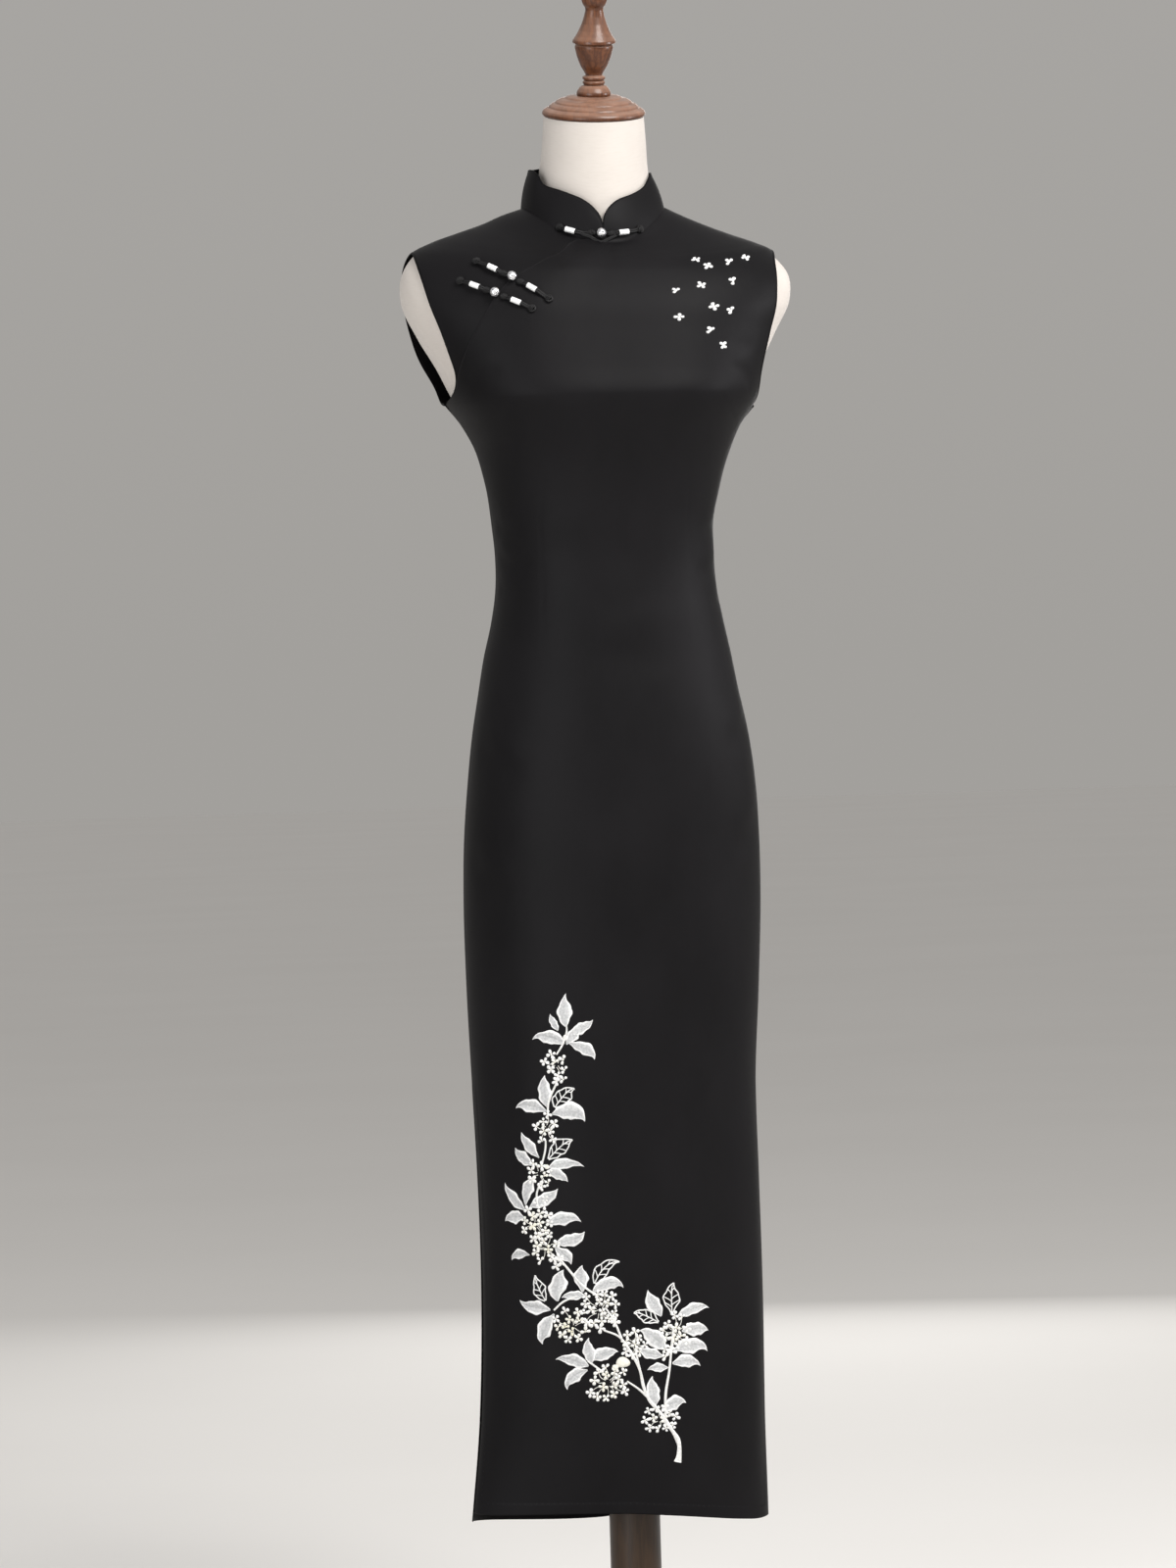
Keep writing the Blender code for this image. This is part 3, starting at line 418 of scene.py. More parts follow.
class ClothMap:
    """Turns places (u, up) on the front or the back into points on the body surface."""

    def __init__(self, middle, reach=0.26, columns=261, rows=353):
        self.ups = np.linspace(HEM, NECKLINE, rows)
        self.us = np.linspace(-reach, reach, columns)
        fine = middle + np.linspace(-90.0, 90.0, 361)
        points, normals = [], []
        for up in self.ups:
            run = body.run(fine, up)
            angles = np.interp(self.us, run - run[len(run) // 2], fine)
            points.append(body.points(angles, up))
            normals.append(body.normals(angles, up))
        self.points, self.normals = np.array(points), np.array(normals)

    def look_up(self, table, u, up):
        row = np.clip((up - self.ups[0]) / (self.ups[1] - self.ups[0]), 0, len(self.ups) - 1.001)
        column = np.clip((u - self.us[0]) / (self.us[1] - self.us[0]), 0, len(self.us) - 1.001)
        low_row, low_column = row.astype(int), column.astype(int)
        r, c = (row - low_row)[..., None], (column - low_column)[..., None]
        return ((table[low_row, low_column] * (1 - c) + table[low_row, low_column + 1] * c)
                * (1 - r) + (table[low_row + 1, low_column] * (1 - c)
                             + table[low_row + 1, low_column + 1] * c) * r)

    def place(self, u, up, lift, relief=None):
        """Points above the cloth's outer face, and the directions out of it."""
        u, up = np.broadcast_arrays(np.asarray(u, dtype=float), np.asarray(up, dtype=float))
        out = unit(self.look_up(self.normals, u, up))
        high = CLOTH_LIFT + WALL + lift + (relief(u, up) if relief else 0.0)
        return self.look_up(self.points, u, up) + out * np.asarray(high)[..., None], out


# ---- creases in the cloth

# a soft trough along a line of (u, up) places, with a low ridge on its left hand; a
# negative depth is a ridge with a trough beside it, and a narrow one is a plain seam
Crease = namedtuple("Crease", "width depth places")
SEAM_WIDTH = 0.001


def creases(*rows):
    """Creases from rows in millimetres: width, depth, then each place's u and up."""
    return [Crease(*row[:2], list(zip(row[2::2], row[3::2]))) for row in metres(*rows)]


FRONT_CREASES = creases(
    # from the armholes towards the bust
    (6, 1.1, -160, 1322, -138, 1331, -112, 1336),
    (5, 0.8, 163, 1318, 143, 1330, 118, 1338),
    (5.5, 0.7, 158, 1352, 140, 1356, 120, 1353),
    # under the bust
    (12, 0.4, -118, 1290, -85, 1288, -50, 1290),
    (12, 0.4, 52, 1286, 86, 1287, 122, 1295),
    # short drags in from the side seams at the waist
    (6, 1, -150, 1182, -126, 1176, -98, 1180),
    (5.5, 1.1, -149, 1150, -120, 1141, -86, 1143),
    (6, 0.8, -151, 1118, -128, 1113, -106, 1117),
    (5.5, 0.9, 98, 1169, 124, 1172, 149, 1180),
    (6, 1, 82, 1130, 116, 1129, 149, 1138),
    (5, 0.7, 103, 1100, 128, 1098, 152, 1105),
    # across the front of the waist and down over the belly
    (11, 0.4, -70, 1104, -20, 1094, 34, 1098),
    (14, 0.4, -38, 1052, 12, 1044, 64, 1052),
    # from the hips
    (10, 1.3, -176, 965, -140, 940, -100, 928),
    (9, 1, 106, 952, 140, 964, 176, 990),
    (11, 1.2, -186, 850, -150, 816, -118, 800),
    (11, 1.1, 112, 846, 146, 860, 184, 892),
    # long soft folds down the skirt
    (15, 1.7, -128, 800, -134, 620, -130, 430, -124, 215),
    (18, -1.6, -52, 720, -50, 540, -56, 350, -60, 150),
    (17, 1.9, 18, 640, 12, 470, 4, 300, 0, 140),
    (16, 1.6, 96, 770, 101, 590, 96, 380, 90, 150),
    (12, -1.4, 150, 640, 152, 470, 146, 300, 140, 150),
    # darts: fine closed seams
    (0.9, 0.3, -74, 1262, -78, 1190, -79, 1130, -82, 1030),
    (0.9, 0.3, 82, 1030, 79, 1130, 78, 1190, 74, 1262),
    (0.9, 0.6, -168, 1268, -140, 1288, -106, 1313),
    (0.9, 0.6, 106, 1313, 140, 1288, 168, 1268),
)
BACK_CREASES = creases(
    (7, 1.1, -158, 1330, -128, 1340, -95, 1344),
    (7, 1, 92, 1350, 126, 1343, 160, 1330),
    (11, 1.1, -85, 1268, -30, 1256, 30, 1260),
    (10, 1, -30, 1222, 30, 1214, 84, 1222),
    (6, 1.2, -149, 1176, -110, 1166, -62, 1170),
    (6.5, 1.2, -148, 1140, -104, 1128, -52, 1134),
    (6, 1.2, 58, 1162, 104, 1160, 148, 1170),
    (6, 1.1, 50, 1126, 100, 1120, 148, 1132),
    (9, 1.2, -40, 1104, 4, 1094, 46, 1100),
    (11, 1.3, -178, 972, -130, 944, -80, 936),
    (11, 1.3, 84, 944, 134, 956, 178, 984),
    (12, 1.2, -100, 858, -30, 838, 40, 846),
    (18, 2, -112, 790, -116, 610, -112, 400, -106, 150),
    (20, -1.8, -30, 740, -34, 560, -30, 360, -26, 140),
    (18, 1.9, 46, 700, 50, 520, 46, 340, 40, 140),
    (16, 1.7, 124, 780, 128, 600, 122, 390, 116, 150),
    # darts
    (0.9, 0.7, -78, 1276, -72, 1190, -72, 1120, -80, 990),
    (0.9, 0.7, 80, 990, 72, 1120, 72, 1190, 78, 1276),
)


def crease_lift(crease, u, up):
    """Metres that one crease lifts the cloth at these places."""
    line = smooth_line(crease.places, 9 + 3 * len(crease.places))
    reach = 5 * crease.width
    lift = np.zeros(u.shape)
    near = ((u > line[:, 0].min() - reach) & (u < line[:, 0].max() + reach)
            & (up > line[:, 1].min() - reach) & (up < line[:, 1].max() + reach))
    if not near.any():
        return lift
    at = np.stack([u[near], up[near]], axis=-1)
    best = np.full(len(at), 9.0)
    signed, share = np.zeros(len(at)), np.zeros(len(at))
    for step in range(len(line) - 1):
        start, way = line[step], line[step + 1] - line[step]
        t = np.clip((at - start) @ way / (way @ way), 0, 1)
        off = at - start - t[:, None] * way
        distance = np.hypot(off[:, 0], off[:, 1])
        closer = distance < best
        side = np.sign(way[0] * off[:, 1] - way[1] * off[:, 0])
        best = np.where(closer, distance, best)
        signed = np.where(closer, distance * np.where(side == 0, 1, side), signed)
        share = np.where(closer, (step + t) / (len(line) - 1), share)
    fade = soft_step(0, 0.3, share) * soft_step(0, 0.3, 1 - share)
    profile = -np.exp(-(signed / crease.width) ** 2 / 2)
    if crease.width > SEAM_WIDTH:
        profile = profile + 0.55 * np.exp(-((signed / crease.width - 2.0) / 1.3) ** 2 / 2)
    lift[near] = crease.depth * profile * fade
    return lift


def relief_of(creases):
    """A function of places on the cloth: how far its creases lift it there."""
    def relief(u, up):
        u, up = np.broadcast_arrays(np.asarray(u, dtype=float), np.asarray(up, dtype=float))
        return sum((crease_lift(crease, u, up) for crease in creases), np.zeros(u.shape))
    return relief


front_relief, back_relief = relief_of(FRONT_CREASES), relief_of(BACK_CREASES)

# ---- cuts of the cloth


def armhole_cut(up, hole):
    """Degrees that an armhole cuts in from the side at this height."""
    share = (up - UNDERARM) / (SHOULDER_TIP - UNDERARM)
    if share <= 0 or share >= 1:
        return 0.0
    if share > hole.fullest:
        away = ((share - hole.fullest) / (1 - hole.fullest)) ** hole.shoulder
    else:
        away = (1 - share / hole.fullest) ** ARMHOLE_CORNER
    return hole.depth * math.sqrt(1 - away)


def gap_angle(up, distance):
    row = body.ring(up)
    step = np.linalg.norm(body.points([0.5], up)[0] - body.points([0.0], up)[0])
    return 0.5 * distance / max(step, 0.2 * math.radians(0.5) * row.half_width)


def slit_share(up):
    return max(0.0, (SLIT_TOP - up) / (SLIT_TOP - HEM))


def slit_angle(up):
    return gap_angle(up, (SEAM_GAP + SLIT_OPENING * slit_share(up) ** SLIT_SHAPE) / 2)


def lap_angle(up):
    return float(Smooth(LAP).at(np.clip(up, LAP[0].up, LAP[-1].up))[0])


def lap_layer(angles, up):
    if up < UNDER_LAP_BOTTOM - LAP_RUN:
        return np.zeros(len(angles))
    inner_edge = lap_angle(up) + LAP_TUCK
    across = soft_step(inner_edge + LAP_FADE, inner_edge, np.asarray(angles))
    return across * np.clip((up - UNDER_LAP_BOTTOM + LAP_RUN) / 0.045, 0, 1)


def spread_rows(*stretches):
    """Heights through (start, end, steps) stretches; a fourth value crowds their ends."""
    rows = [stretches[0][0]]
    for start, end, steps, *crowded in stretches:
        share = np.arange(1, steps + 1) / steps
        if crowded:
            share = (1 - np.cos(math.pi * share)) / 2
        rows += (start + (end - start) * share).tolist()
    return rows


def front_span(up):
    side = slit_angle(up)
    first = RIGHT_SEAM + side + armhole_cut(up, ARMHOLE_FRONT_RIGHT)
    if up > LAP[0].up:
        first = max(first, lap_angle(up))
    elif up > UNDERARM:       # the lap's edge leaves the armhole in one sweep
        lead = LAP[0].angle - RIGHT_SEAM - armhole_cut(LAP[0].up, ARMHOLE_FRONT_RIGHT)
        first += max(0.0, lead) * soft_step(UNDERARM, LAP[0].up, up)
    return first, LEFT_SEAM - side - armhole_cut(up, ARMHOLE_FRONT_LEFT)


def under_lap_span(up):
    side = gap_angle(up, SEAM_GAP / 2)
    return RIGHT_SEAM + side + armhole_cut(up, ARMHOLE_FRONT_RIGHT), lap_angle(up) + LAP_TUCK


def back_span(up):
    side, cut = slit_angle(up), armhole_cut(up, ARMHOLE_BACK)
    return side + cut, RIGHT_SEAM - side - cut


HEM_TURN = 0.0130             # depth of the turned hem and of the facing at each slit
FACING = 0.0110
STITCH_LINE = 0.0009
DOUBLE_CLOTH, STITCH_DEPTH = 0.00035, 0.00022


class Panel:
    """One piece of cloth: grids of its outer and inner faces, and where its points lie."""

    def __init__(self, ups, span, middle, columns, level, relief, shift=None):
        self.ups = np.array(ups)
        angles, us, edges = [], [], []
        for up in ups:
            first, last = span(up)
            row = body.even_angles(first, last, up, columns)
            u = body.u_of(row, up, middle)
            angles.append(row)
            us.append(u)
            edges.append(np.minimum(u - u[0], u[-1] - u))
        self.u, self.edge = np.array(us), np.array(edges)
        self.up = np.repeat(self.ups[:, None], columns, axis=1)
        lift = relief(self.u, self.up) + self.turned_edges()
        outer, inner = [], []
        for up, row, high in zip(ups, angles, lift):
            base = level(row, up) + high
            faces = [body.raised(row, up, base), body.raised(row, up, base - CLOTH)]
            if shift:
                faces = [shift(face, up) for face in faces]
            outer.append(faces[0])
            inner.append(faces[1])
        self.outer, self.inner = np.array(outer), np.array(inner)

    def turned_edges(self):
        """The double cloth and the stitch line of the turned hem and slit facings."""
        from_hem = self.up - HEM
        skirt = soft_step(SLIT_TOP + 0.004, SLIT_TOP - 0.010, self.up)
        near = np.minimum(from_hem / HEM_TURN, np.where(skirt > 0, self.edge / FACING, 9.0))
        depth = np.maximum(np.exp(-((from_hem - HEM_TURN) / STITCH_LINE) ** 2 / 2),
                           skirt * np.exp(-((self.edge - FACING) / STITCH_LINE) ** 2 / 2))
        lift = DOUBLE_CLOTH * soft_step(1.06, 0.94, near) * np.maximum(skirt, from_hem < HEM_TURN)
        return lift - STITCH_DEPTH * depth * (near > 0.8)

    def piece(self, name, finish, slot, stands_for):
        """The closed mesh: two faces and a rounded edge between them."""
        rows, columns = self.outer.shape[:2]
        count = rows * columns
        rim, inside = rim_of(rows, columns), rim_of(rows, columns, 1)
        outer, inner = self.outer.reshape(-1, 3), self.inner.reshape(-1, 3)
        middle = (outer[rim] + inner[rim]) / 2
        away = middle - (outer[inside] + inner[inside]) / 2
        away /= np.maximum(np.linalg.norm(away, axis=1, keepdims=True), 1e-9)
        fold = middle + away * CLOTH * 0.45
        after, place = np.roll(rim, -1), np.arange(len(rim))
        fold_index, fold_after = 2 * count + place, 2 * count + np.roll(place, -1)
        faces = np.concatenate([
            quads(rows, columns), quads(rows, columns, count, flip=True),
            np.stack([rim, fold_index, fold_after, after], axis=1),
            np.stack([fold_index, rim + count, after + count, fold_after], axis=1)])
        marks = np.stack([self.u.ravel(), self.up.ravel(), self.edge.ravel()], axis=1)
        made = add_mesh(name, np.concatenate([outer, inner, fold]), faces, finish, 60.0,
                        {"cloth": np.concatenate([marks, marks, marks[rim]])})
        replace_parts(made, stands_for)
        return made

    def side(self, column, low, high):
        """Middle points of one edge between two heights, and the directions out of it."""
        rows = (self.ups >= low - 1e-6) & (self.ups <= high + 1e-6)
        outer, inner = self.outer[rows, column], self.inner[rows, column]
        return (outer + inner) / 2, unit(outer - inner)


# ---- materials


class Graph:
    """A node material in the making."""

    def __init__(self, name, **sockets):
        self.material = bpy.data.materials.new(name)
        self.material.use_nodes = True
        self.tree = self.material.node_tree
        self.shader = self.tree.nodes["Principled BSDF"]
        for key, value in sockets.items():
            self.set(key.replace("_", " "), value)

    def set(self, socket, value):
        self.feed(self.shader.inputs[socket], value)

    def feed(self, socket, value):
        if isinstance(value, bpy.types.NodeSocket):
            self.tree.links.new(value, socket)
        else:
            socket.default_value = value

    def node(self, kind, inputs=None, **settings):
        made = self.tree.nodes.new("ShaderNode" + kind)
        for key, value in settings.items():
            setattr(made, key, value)
        for key, value in (inputs or {}).items():
            self.feed(made.inputs[key], value)
        return made

    def attribute(self, name):
        return self.node("Attribute", attribute_name=name).outputs["Vector"]

    def place(self):
        return self.node("TexCoord").outputs["Object"]

    def noise(self, scale, detail=2.0, roughness=0.5, vector=None, stretch=None):
        """Noise in the object's own space, or over another vector that may be stretched."""
        if vector is None:
            vector = self.place()
        if stretch:
            vector = self.node("Mapping", {"Vector": vector, "Scale": stretch}).outputs[0]
        return self.node("TexNoise", {"Vector": vector, "Scale": scale, "Detail": detail,
                                      "Roughness": roughness}).outputs["Fac"]

    def math(self, operation, *values):
        made = self.node("Math", operation=operation)
        for socket, value in zip(made.inputs, values):
            self.feed(socket, value)
        return made.outputs[0]

    def part(self, vector, axis):
        return self.node("SeparateXYZ", {"Vector": vector}).outputs[axis]

    def weave(self, vector, tones, gap, width, height, offset=0.5):
        """Threads laid like bricks; the tones are those of two threads and their gaps."""
        first, second, mortar = ((tone, tone, tone, 1.0) for tone in tones)
        return self.node("TexBrick", {
            "Vector": vector, "Color1": first, "Color2": second, "Mortar": mortar, "Scale": 1.0,
            "Mortar Size": gap, "Mortar Smooth": 1.0, "Brick Width": width,
            "Row Height": height}, offset=offset).outputs["Color"]

    def spread(self, value, low, high, to_low, to_high):
        return self.node("MapRange", {"Value": value, "From Min": low, "From Max": high,
                                      "To Min": to_low, "To Max": to_high}).outputs[0]

    def vary(self, noise, to_low, to_high):
        """The middle of a noise's range, brought to these two values."""
        return self.spread(noise, 0.3, 0.7, to_low, to_high)

    def mix(self, share, first, second):
        made = self.node("Mix", data_type="RGBA")
        for key, value in ((0, share), (6, first), (7, second)):
            if isinstance(value, tuple) and len(value) == 3:
                value = (*value, 1.0)
            self.feed(made.inputs[key], value)
        return made.outputs[2]

    def bump(self, height, distance, strength=1.0, after=None):
        inputs = {"Height": height, "Distance": distance, "Strength": strength}
        if after is not None:
            inputs["Normal"] = after
        return self.node("Bump", inputs).outputs[0]

    def finish(self, colour, rough, normal=None):
        """Feeds the shader, and gives the material."""
        self.set("Base Color", colour)
        self.set("Roughness", rough)
        if normal is not None:
            self.set("Normal", normal)
        return self.material


def satin_material(name, dark, light, roughness, painted_edge_shading):
    """Warp-faced satin: long floats down the cloth, an uneven bloom, and a painted highlight that
    makes its edges paler.
    """
    graph = Graph(name, IOR=1.25, Specular_IOR_Level=0.25)
    cloth = graph.attribute("cloth")
    bloom = graph.noise(9.0, 3.0, 0.5, cloth, (1.0, 0.6, 0.0))
    streaks = graph.noise(900.0, 2.0, 0.6, cloth, (1.0, 0.035, 0.0))
    colour = graph.mix(graph.spread(bloom, 0.35, 0.65, 0.0, 1.0), dark, light)
    colour = graph.mix(graph.vary(streaks, 0.0, 0.35), colour, light)
    edge = graph.math("ADD", graph.part(cloth, 2),
                      graph.spread(streaks, 0.0, 1.0, -0.0006, 0.0006))
    # painted highlight: within about 2 mm of an edge the satin is painted paler, and made rougher
    edge_highlight = graph.spread(edge, 0.0002, 0.0022, painted_edge_shading, 0.0)
    rough = graph.math("ADD", graph.vary(bloom, roughness - 0.035, roughness + 0.035),
                       graph.math("MULTIPLY", edge_highlight, 0.5))
    turned = graph.node("CombineXYZ", {"X": graph.part(cloth, 1), "Y": graph.part(cloth, 0)})
    floats = graph.weave(turned.outputs[0], (0.9, 0.7, 0.0), 0.00005, 0.0024, 0.00038, 0.4)
    soft = graph.noise(45.0, 2.0, 0.5, cloth, (1.0, 0.5, 0.0))
    # the pale edge colour here is the painted highlight
    return graph.finish(graph.mix(edge_highlight, colour, (0.055, 0.052, 0.056)), rough,
                        graph.bump(soft, 0.0006, 0.35, graph.bump(floats, 0.00004, 0.5)))


THREADS_APART = 0.00050


def thread_material(name, light, shade, warm):
    """Embroidery silk: its attribute holds metres across the threads, how far it is from
    the middle of the shape (0 to 1), and how creamy it is."""
    graph = Graph(name, Sheen_Weight=0.25, Sheen_Roughness=0.35)
    thread = graph.attribute("thread")
    along, middle, cream = (graph.part(thread, axis) for axis in range(3))
    phase = graph.math("ADD", graph.math("MULTIPLY", along, 2 * math.pi / THREADS_APART),
                       graph.math("MULTIPLY", graph.noise(420.0), 3.0))
    lines = graph.math("SINE", phase)
    # painted light and shade: the colour runs from shade in the middle of a shape to light at its
    # edges
    tone = graph.math("ADD", middle, graph.vary(graph.noise(420.0, 4.0), -0.28, 0.28))
    colour = graph.mix(graph.spread(tone, 0.0, 1.0, 0.0, 1.0), shade, light)
    colour = graph.mix(cream, colour, warm)
    # painted shade in the troughs between the stitch lines
    colour = graph.mix(graph.spread(lines, -1.0, 0.2, 0.15, 0.0), colour, (0.45, 0.45, 0.44))
    return graph.finish(colour, graph.spread(lines, -1.0, 1.0, 0.55, 0.36),
                        graph.bump(lines, 0.00012, 0.8))


def linen_material():
    """The form's cream cover: a close plain weave, slightly uneven."""
    graph = Graph("cream_cover", Sheen_Weight=0.15, Sheen_Roughness=0.5,
                  Specular_IOR_Level=0.3)
    cloth = graph.attribute("cloth")
    weave = graph.weave(cloth, (0.95, 0.75, 0.1), 0.00008, 0.0009, 0.00055)
    slub = graph.noise(700.0, 2.0, 0.5, cloth, (0.12, 1.0, 0.0))
    cloudy = graph.noise(14.0, 3.0)
    colour = graph.mix(graph.vary(cloudy, 0.0, 1.0), (0.500, 0.460, 0.425),
                       (0.545, 0.505, 0.465))
    colour = graph.mix(graph.spread(slub, 0.45, 0.75, 0.0, 0.25), colour, (0.455, 0.415, 0.370))
    return graph.finish(colour, graph.spread(slub, 0.2, 0.8, 0.78, 0.9),
                        graph.bump(cloudy, 0.002, 0.15, graph.bump(weave, 0.00008, 0.5)))


def wood_material(name, dark, light, roughness, across, top_light_amount=0.0):
    """Varnished wood with grain along Z, or across a flat board; painted light from above makes
    its upper faces paler, a painted highlight lightens its convex edges and painted shade darkens
    its grooves.
    """
    graph = Graph(name, Coat_Weight=0.16, Coat_Roughness=0.16, Specular_IOR_Level=0.28)
    stretch = (1.0, 0.08, 1.0) if across else (1.0, 1.0, 0.10)
    long_grain = graph.noise(55.0, 5.0, 0.62, stretch=stretch)
    pores = graph.noise(260.0, 3.0, 0.7, stretch=tuple(3 * s if s == 1.0 else s for s in stretch))
    rings = graph.math("SINE", graph.math("MULTIPLY", long_grain, 46.0))
    colour = graph.mix(graph.math("ADD", graph.spread(rings, -1.0, 1.0, 0.0, 0.55),
                                  graph.vary(long_grain, 0.0, 0.45)), dark, light)
    # pointiness paints a highlight on convex edges and shade in concave grooves
    painted_edge_shading = graph.node("NewGeometry").outputs["Pointiness"]
    colour = graph.mix(graph.spread(painted_edge_shading, 0.50, 0.56, 0.0, 0.35), colour, light)
    # the first darkening is painted shade in the grooves; the pores' darkening is the grain's own
    for share, depth in ((graph.spread(painted_edge_shading, 0.42, 0.498, 0.85, 0.0), 0.35),
                         (graph.spread(pores, 0.62, 0.75, 0.0, 0.6), 0.4)):
        colour = graph.mix(share, colour, tuple(depth * tone for tone in dark))
    # painted light from above: the more a face turns up, the paler it is painted
    upward = graph.part(graph.node("NewGeometry").outputs["Normal"], 2)
    painted_top_light = graph.math("MULTIPLY", graph.spread(upward, -0.05, 0.75, 0.0, top_light_amount),
                      graph.vary(graph.noise(70.0, 3.0), 0.6, 1.0))
    return graph.finish(graph.mix(painted_top_light, colour, (0.46, 0.285, 0.21)),
                        graph.vary(long_grain, roughness - 0.06, roughness + 0.08),
                        graph.bump(pores, 0.0002, 0.4))


def mottled_material(name, scale, detail, first, second, rough, bump=0.0, clear=False, **sockets):
    """A finish that wanders between two colours and two roughnesses."""
    graph = Graph(name, **sockets)
    clouds = graph.noise(scale, detail)
    low, high = rough
    share = graph.vary(clouds, 0.0, 1.0) if clear else clouds
    return graph.finish(graph.mix(share, first, second),
                        graph.vary(clouds, low, high) if high > low else low,
                        graph.bump(clouds, 0.0001, bump) if bump else None)


satin = satin_material("black_satin", (0.0048, 0.0045, 0.0050), (0.0072, 0.0067, 0.0075),
                       0.50, 0.12)
# the bindings wear a darker copy of the dress satin: painted shade along the bound edges
binding_satin = satin_material("binding_satin", (0.0022, 0.0020, 0.0023),
                               (0.0040, 0.0037, 0.0042), 0.55, 0.0)
white_silk = thread_material("white_silk", (0.97, 0.97, 0.97), (0.46, 0.47, 0.485),
                             (0.90, 0.84, 0.58))
linen = linen_material()
# red_wood's last value sets how much light from above is painted on its upper faces
red_wood, dark_wood, base_wood = (wood_material(*finish) for finish in (
    ("red_wood", (0.036, 0.011, 0.005), (0.130, 0.046, 0.018), 0.34, False, 0.46),
    ("dark_wood", (0.014, 0.007, 0.003), (0.044, 0.023, 0.010), 0.40, False),
    ("base_wood", (0.022, 0.012, 0.007), (0.060, 0.034, 0.020), 0.36, True)))
black_cord = mottled_material("frog_cord", 2600.0, 2.0, (0.0025, 0.0025, 0.0028),
                              (0.0090, 0.0086, 0.0092), (0.45, 0.65), 0.5,
                              Specular_IOR_Level=0.25)
silver = mottled_material("silver_ball", 900.0, 3.0, (0.93, 0.93, 0.94), (0.72, 0.73, 0.76),
                          (0.20, 0.36), Metallic=1.0)
pearl = mottled_material("white_bead", 700.0, 3.0, (0.88, 0.88, 0.87), (0.70, 0.71, 0.72),
                         (0.25, 0.25), 0.3, True, Coat_Weight=0.6, Coat_Roughness=0.08)
floor_finish = mottled_material("studio_floor", 1.2, 3.0, (0.672, 0.658, 0.638),
                                (0.633, 0.619, 0.598), (0.9, 0.9))

# ---- the dress


def front_level(angles, up):
    return CLOTH_LIFT + WALL + (WALL + LAP_CLEARANCE) * lap_layer(angles, up)


def plain_level(angles, up):
    return np.full(len(angles), CLOTH_LIFT + WALL)


def back_level(angles, up):
    edge = np.abs(np.linspace(-1, 1, len(angles))) ** 6
    near = math.exp(-((up - GAPE_MIDDLE) / GAPE_SPREAD) ** 2 / 2)
    return CLOTH_LIFT + WALL + ARMHOLE_GAPE * edge * near


def across_share(ring):
    """-1 to 1 from one side of a row to the other."""
    middle = ring[:, 0].mean()
    return (ring[:, 0] - middle) / (ring[:, 0].max() - middle)


def back_shift(ring, up):
    """The back's hem hangs lower towards the garment's right, and is a little wider."""
    low, across = slit_share(up), across_share(ring)
    ring[:, 0] += BACK_WIDER * low * across
    ring[:, 2] -= BACK_HEM_DROP * low ** 3 * np.clip(-across, 0, 1) ** 0.7
    return ring


def front_shift(ring, up):
    """The front's hem hangs lower towards the garment's left, where its corner curls up."""
    low, across = slit_share(up), across_share(ring)
    curl = FRONT_CORNER_LIFT * np.clip((across - 0.86) / 0.14, 0, 1) ** 2
    ring[:, 2] += low ** 6 * (curl - FRONT_HEM_DROP * np.clip(1.4 * across, 0, 1))
    return ring


HEM_BAND, ARMHOLE_START = 0.020, 0.0012      # stretches whose rows lie closer together
UPPER_ROWS = ((UNDERARM, UNDERARM + ARMHOLE_START, 2),
              (UNDERARM + ARMHOLE_START, SHOULDER_TIP, 64, True),
              (SHOULDER_TIP, NECKLINE - SEAM_GAP, 34))
panel_rows = spread_rows((HEM, HEM + HEM_BAND, 16), (HEM + HEM_BAND, SLIT_TOP, 84),
                         (SLIT_TOP, WAIST, 112), (WAIST, UNDERARM, 50), *UPPER_ROWS)
front = Panel(panel_rows, front_span, FRONT_ANGLE, 133, front_level, front_relief, front_shift)
under_lap = Panel(spread_rows((UNDER_LAP_BOTTOM, UNDERARM, 18), *UPPER_ROWS), under_lap_span,
                  FRONT_ANGLE, 41, plain_level, front_relief)
back = Panel(panel_rows, back_span, BACK_ANGLE, 131, back_level, back_relief, back_shift)
front_cloth, under_lap_cloth, back_cloth = (
    panel.piece(name + "_cloth", satin, "black_satin", name)
    for panel, name in ((front, "dress_front"), (under_lap, "dress_under_lap"),
                        (back, "dress_back")))

# ---- the collar


def collar_top(angles):
    turn = np.radians(angles)
    ahead = np.sin(turn) < 0
    x = COLLAR_TOP_MIDDLE[0] + COLLAR_TOP_HALF * np.cos(turn)
    y = COLLAR_TOP_MIDDLE[1] + COLLAR_TOP_DEPTH * np.sin(turn)
    end_z = np.where(ahead, COLLAR_TOP_FRONT, COLLAR_TOP_BACK)
    z = COLLAR_TOP_SIDE + (end_z - COLLAR_TOP_SIDE) * np.sin(turn) ** 2
    z = z - COLLAR_LEAN * np.cos(turn)
    for middle, before, after, depth in COLLAR_DIPS:
        away = np.mod(angles, 360.0) - middle
        z = z - depth * np.exp(-(away / np.where(away < 0, before, after)) ** 2 / 2)
    return np.stack([x, y, z], axis=1)


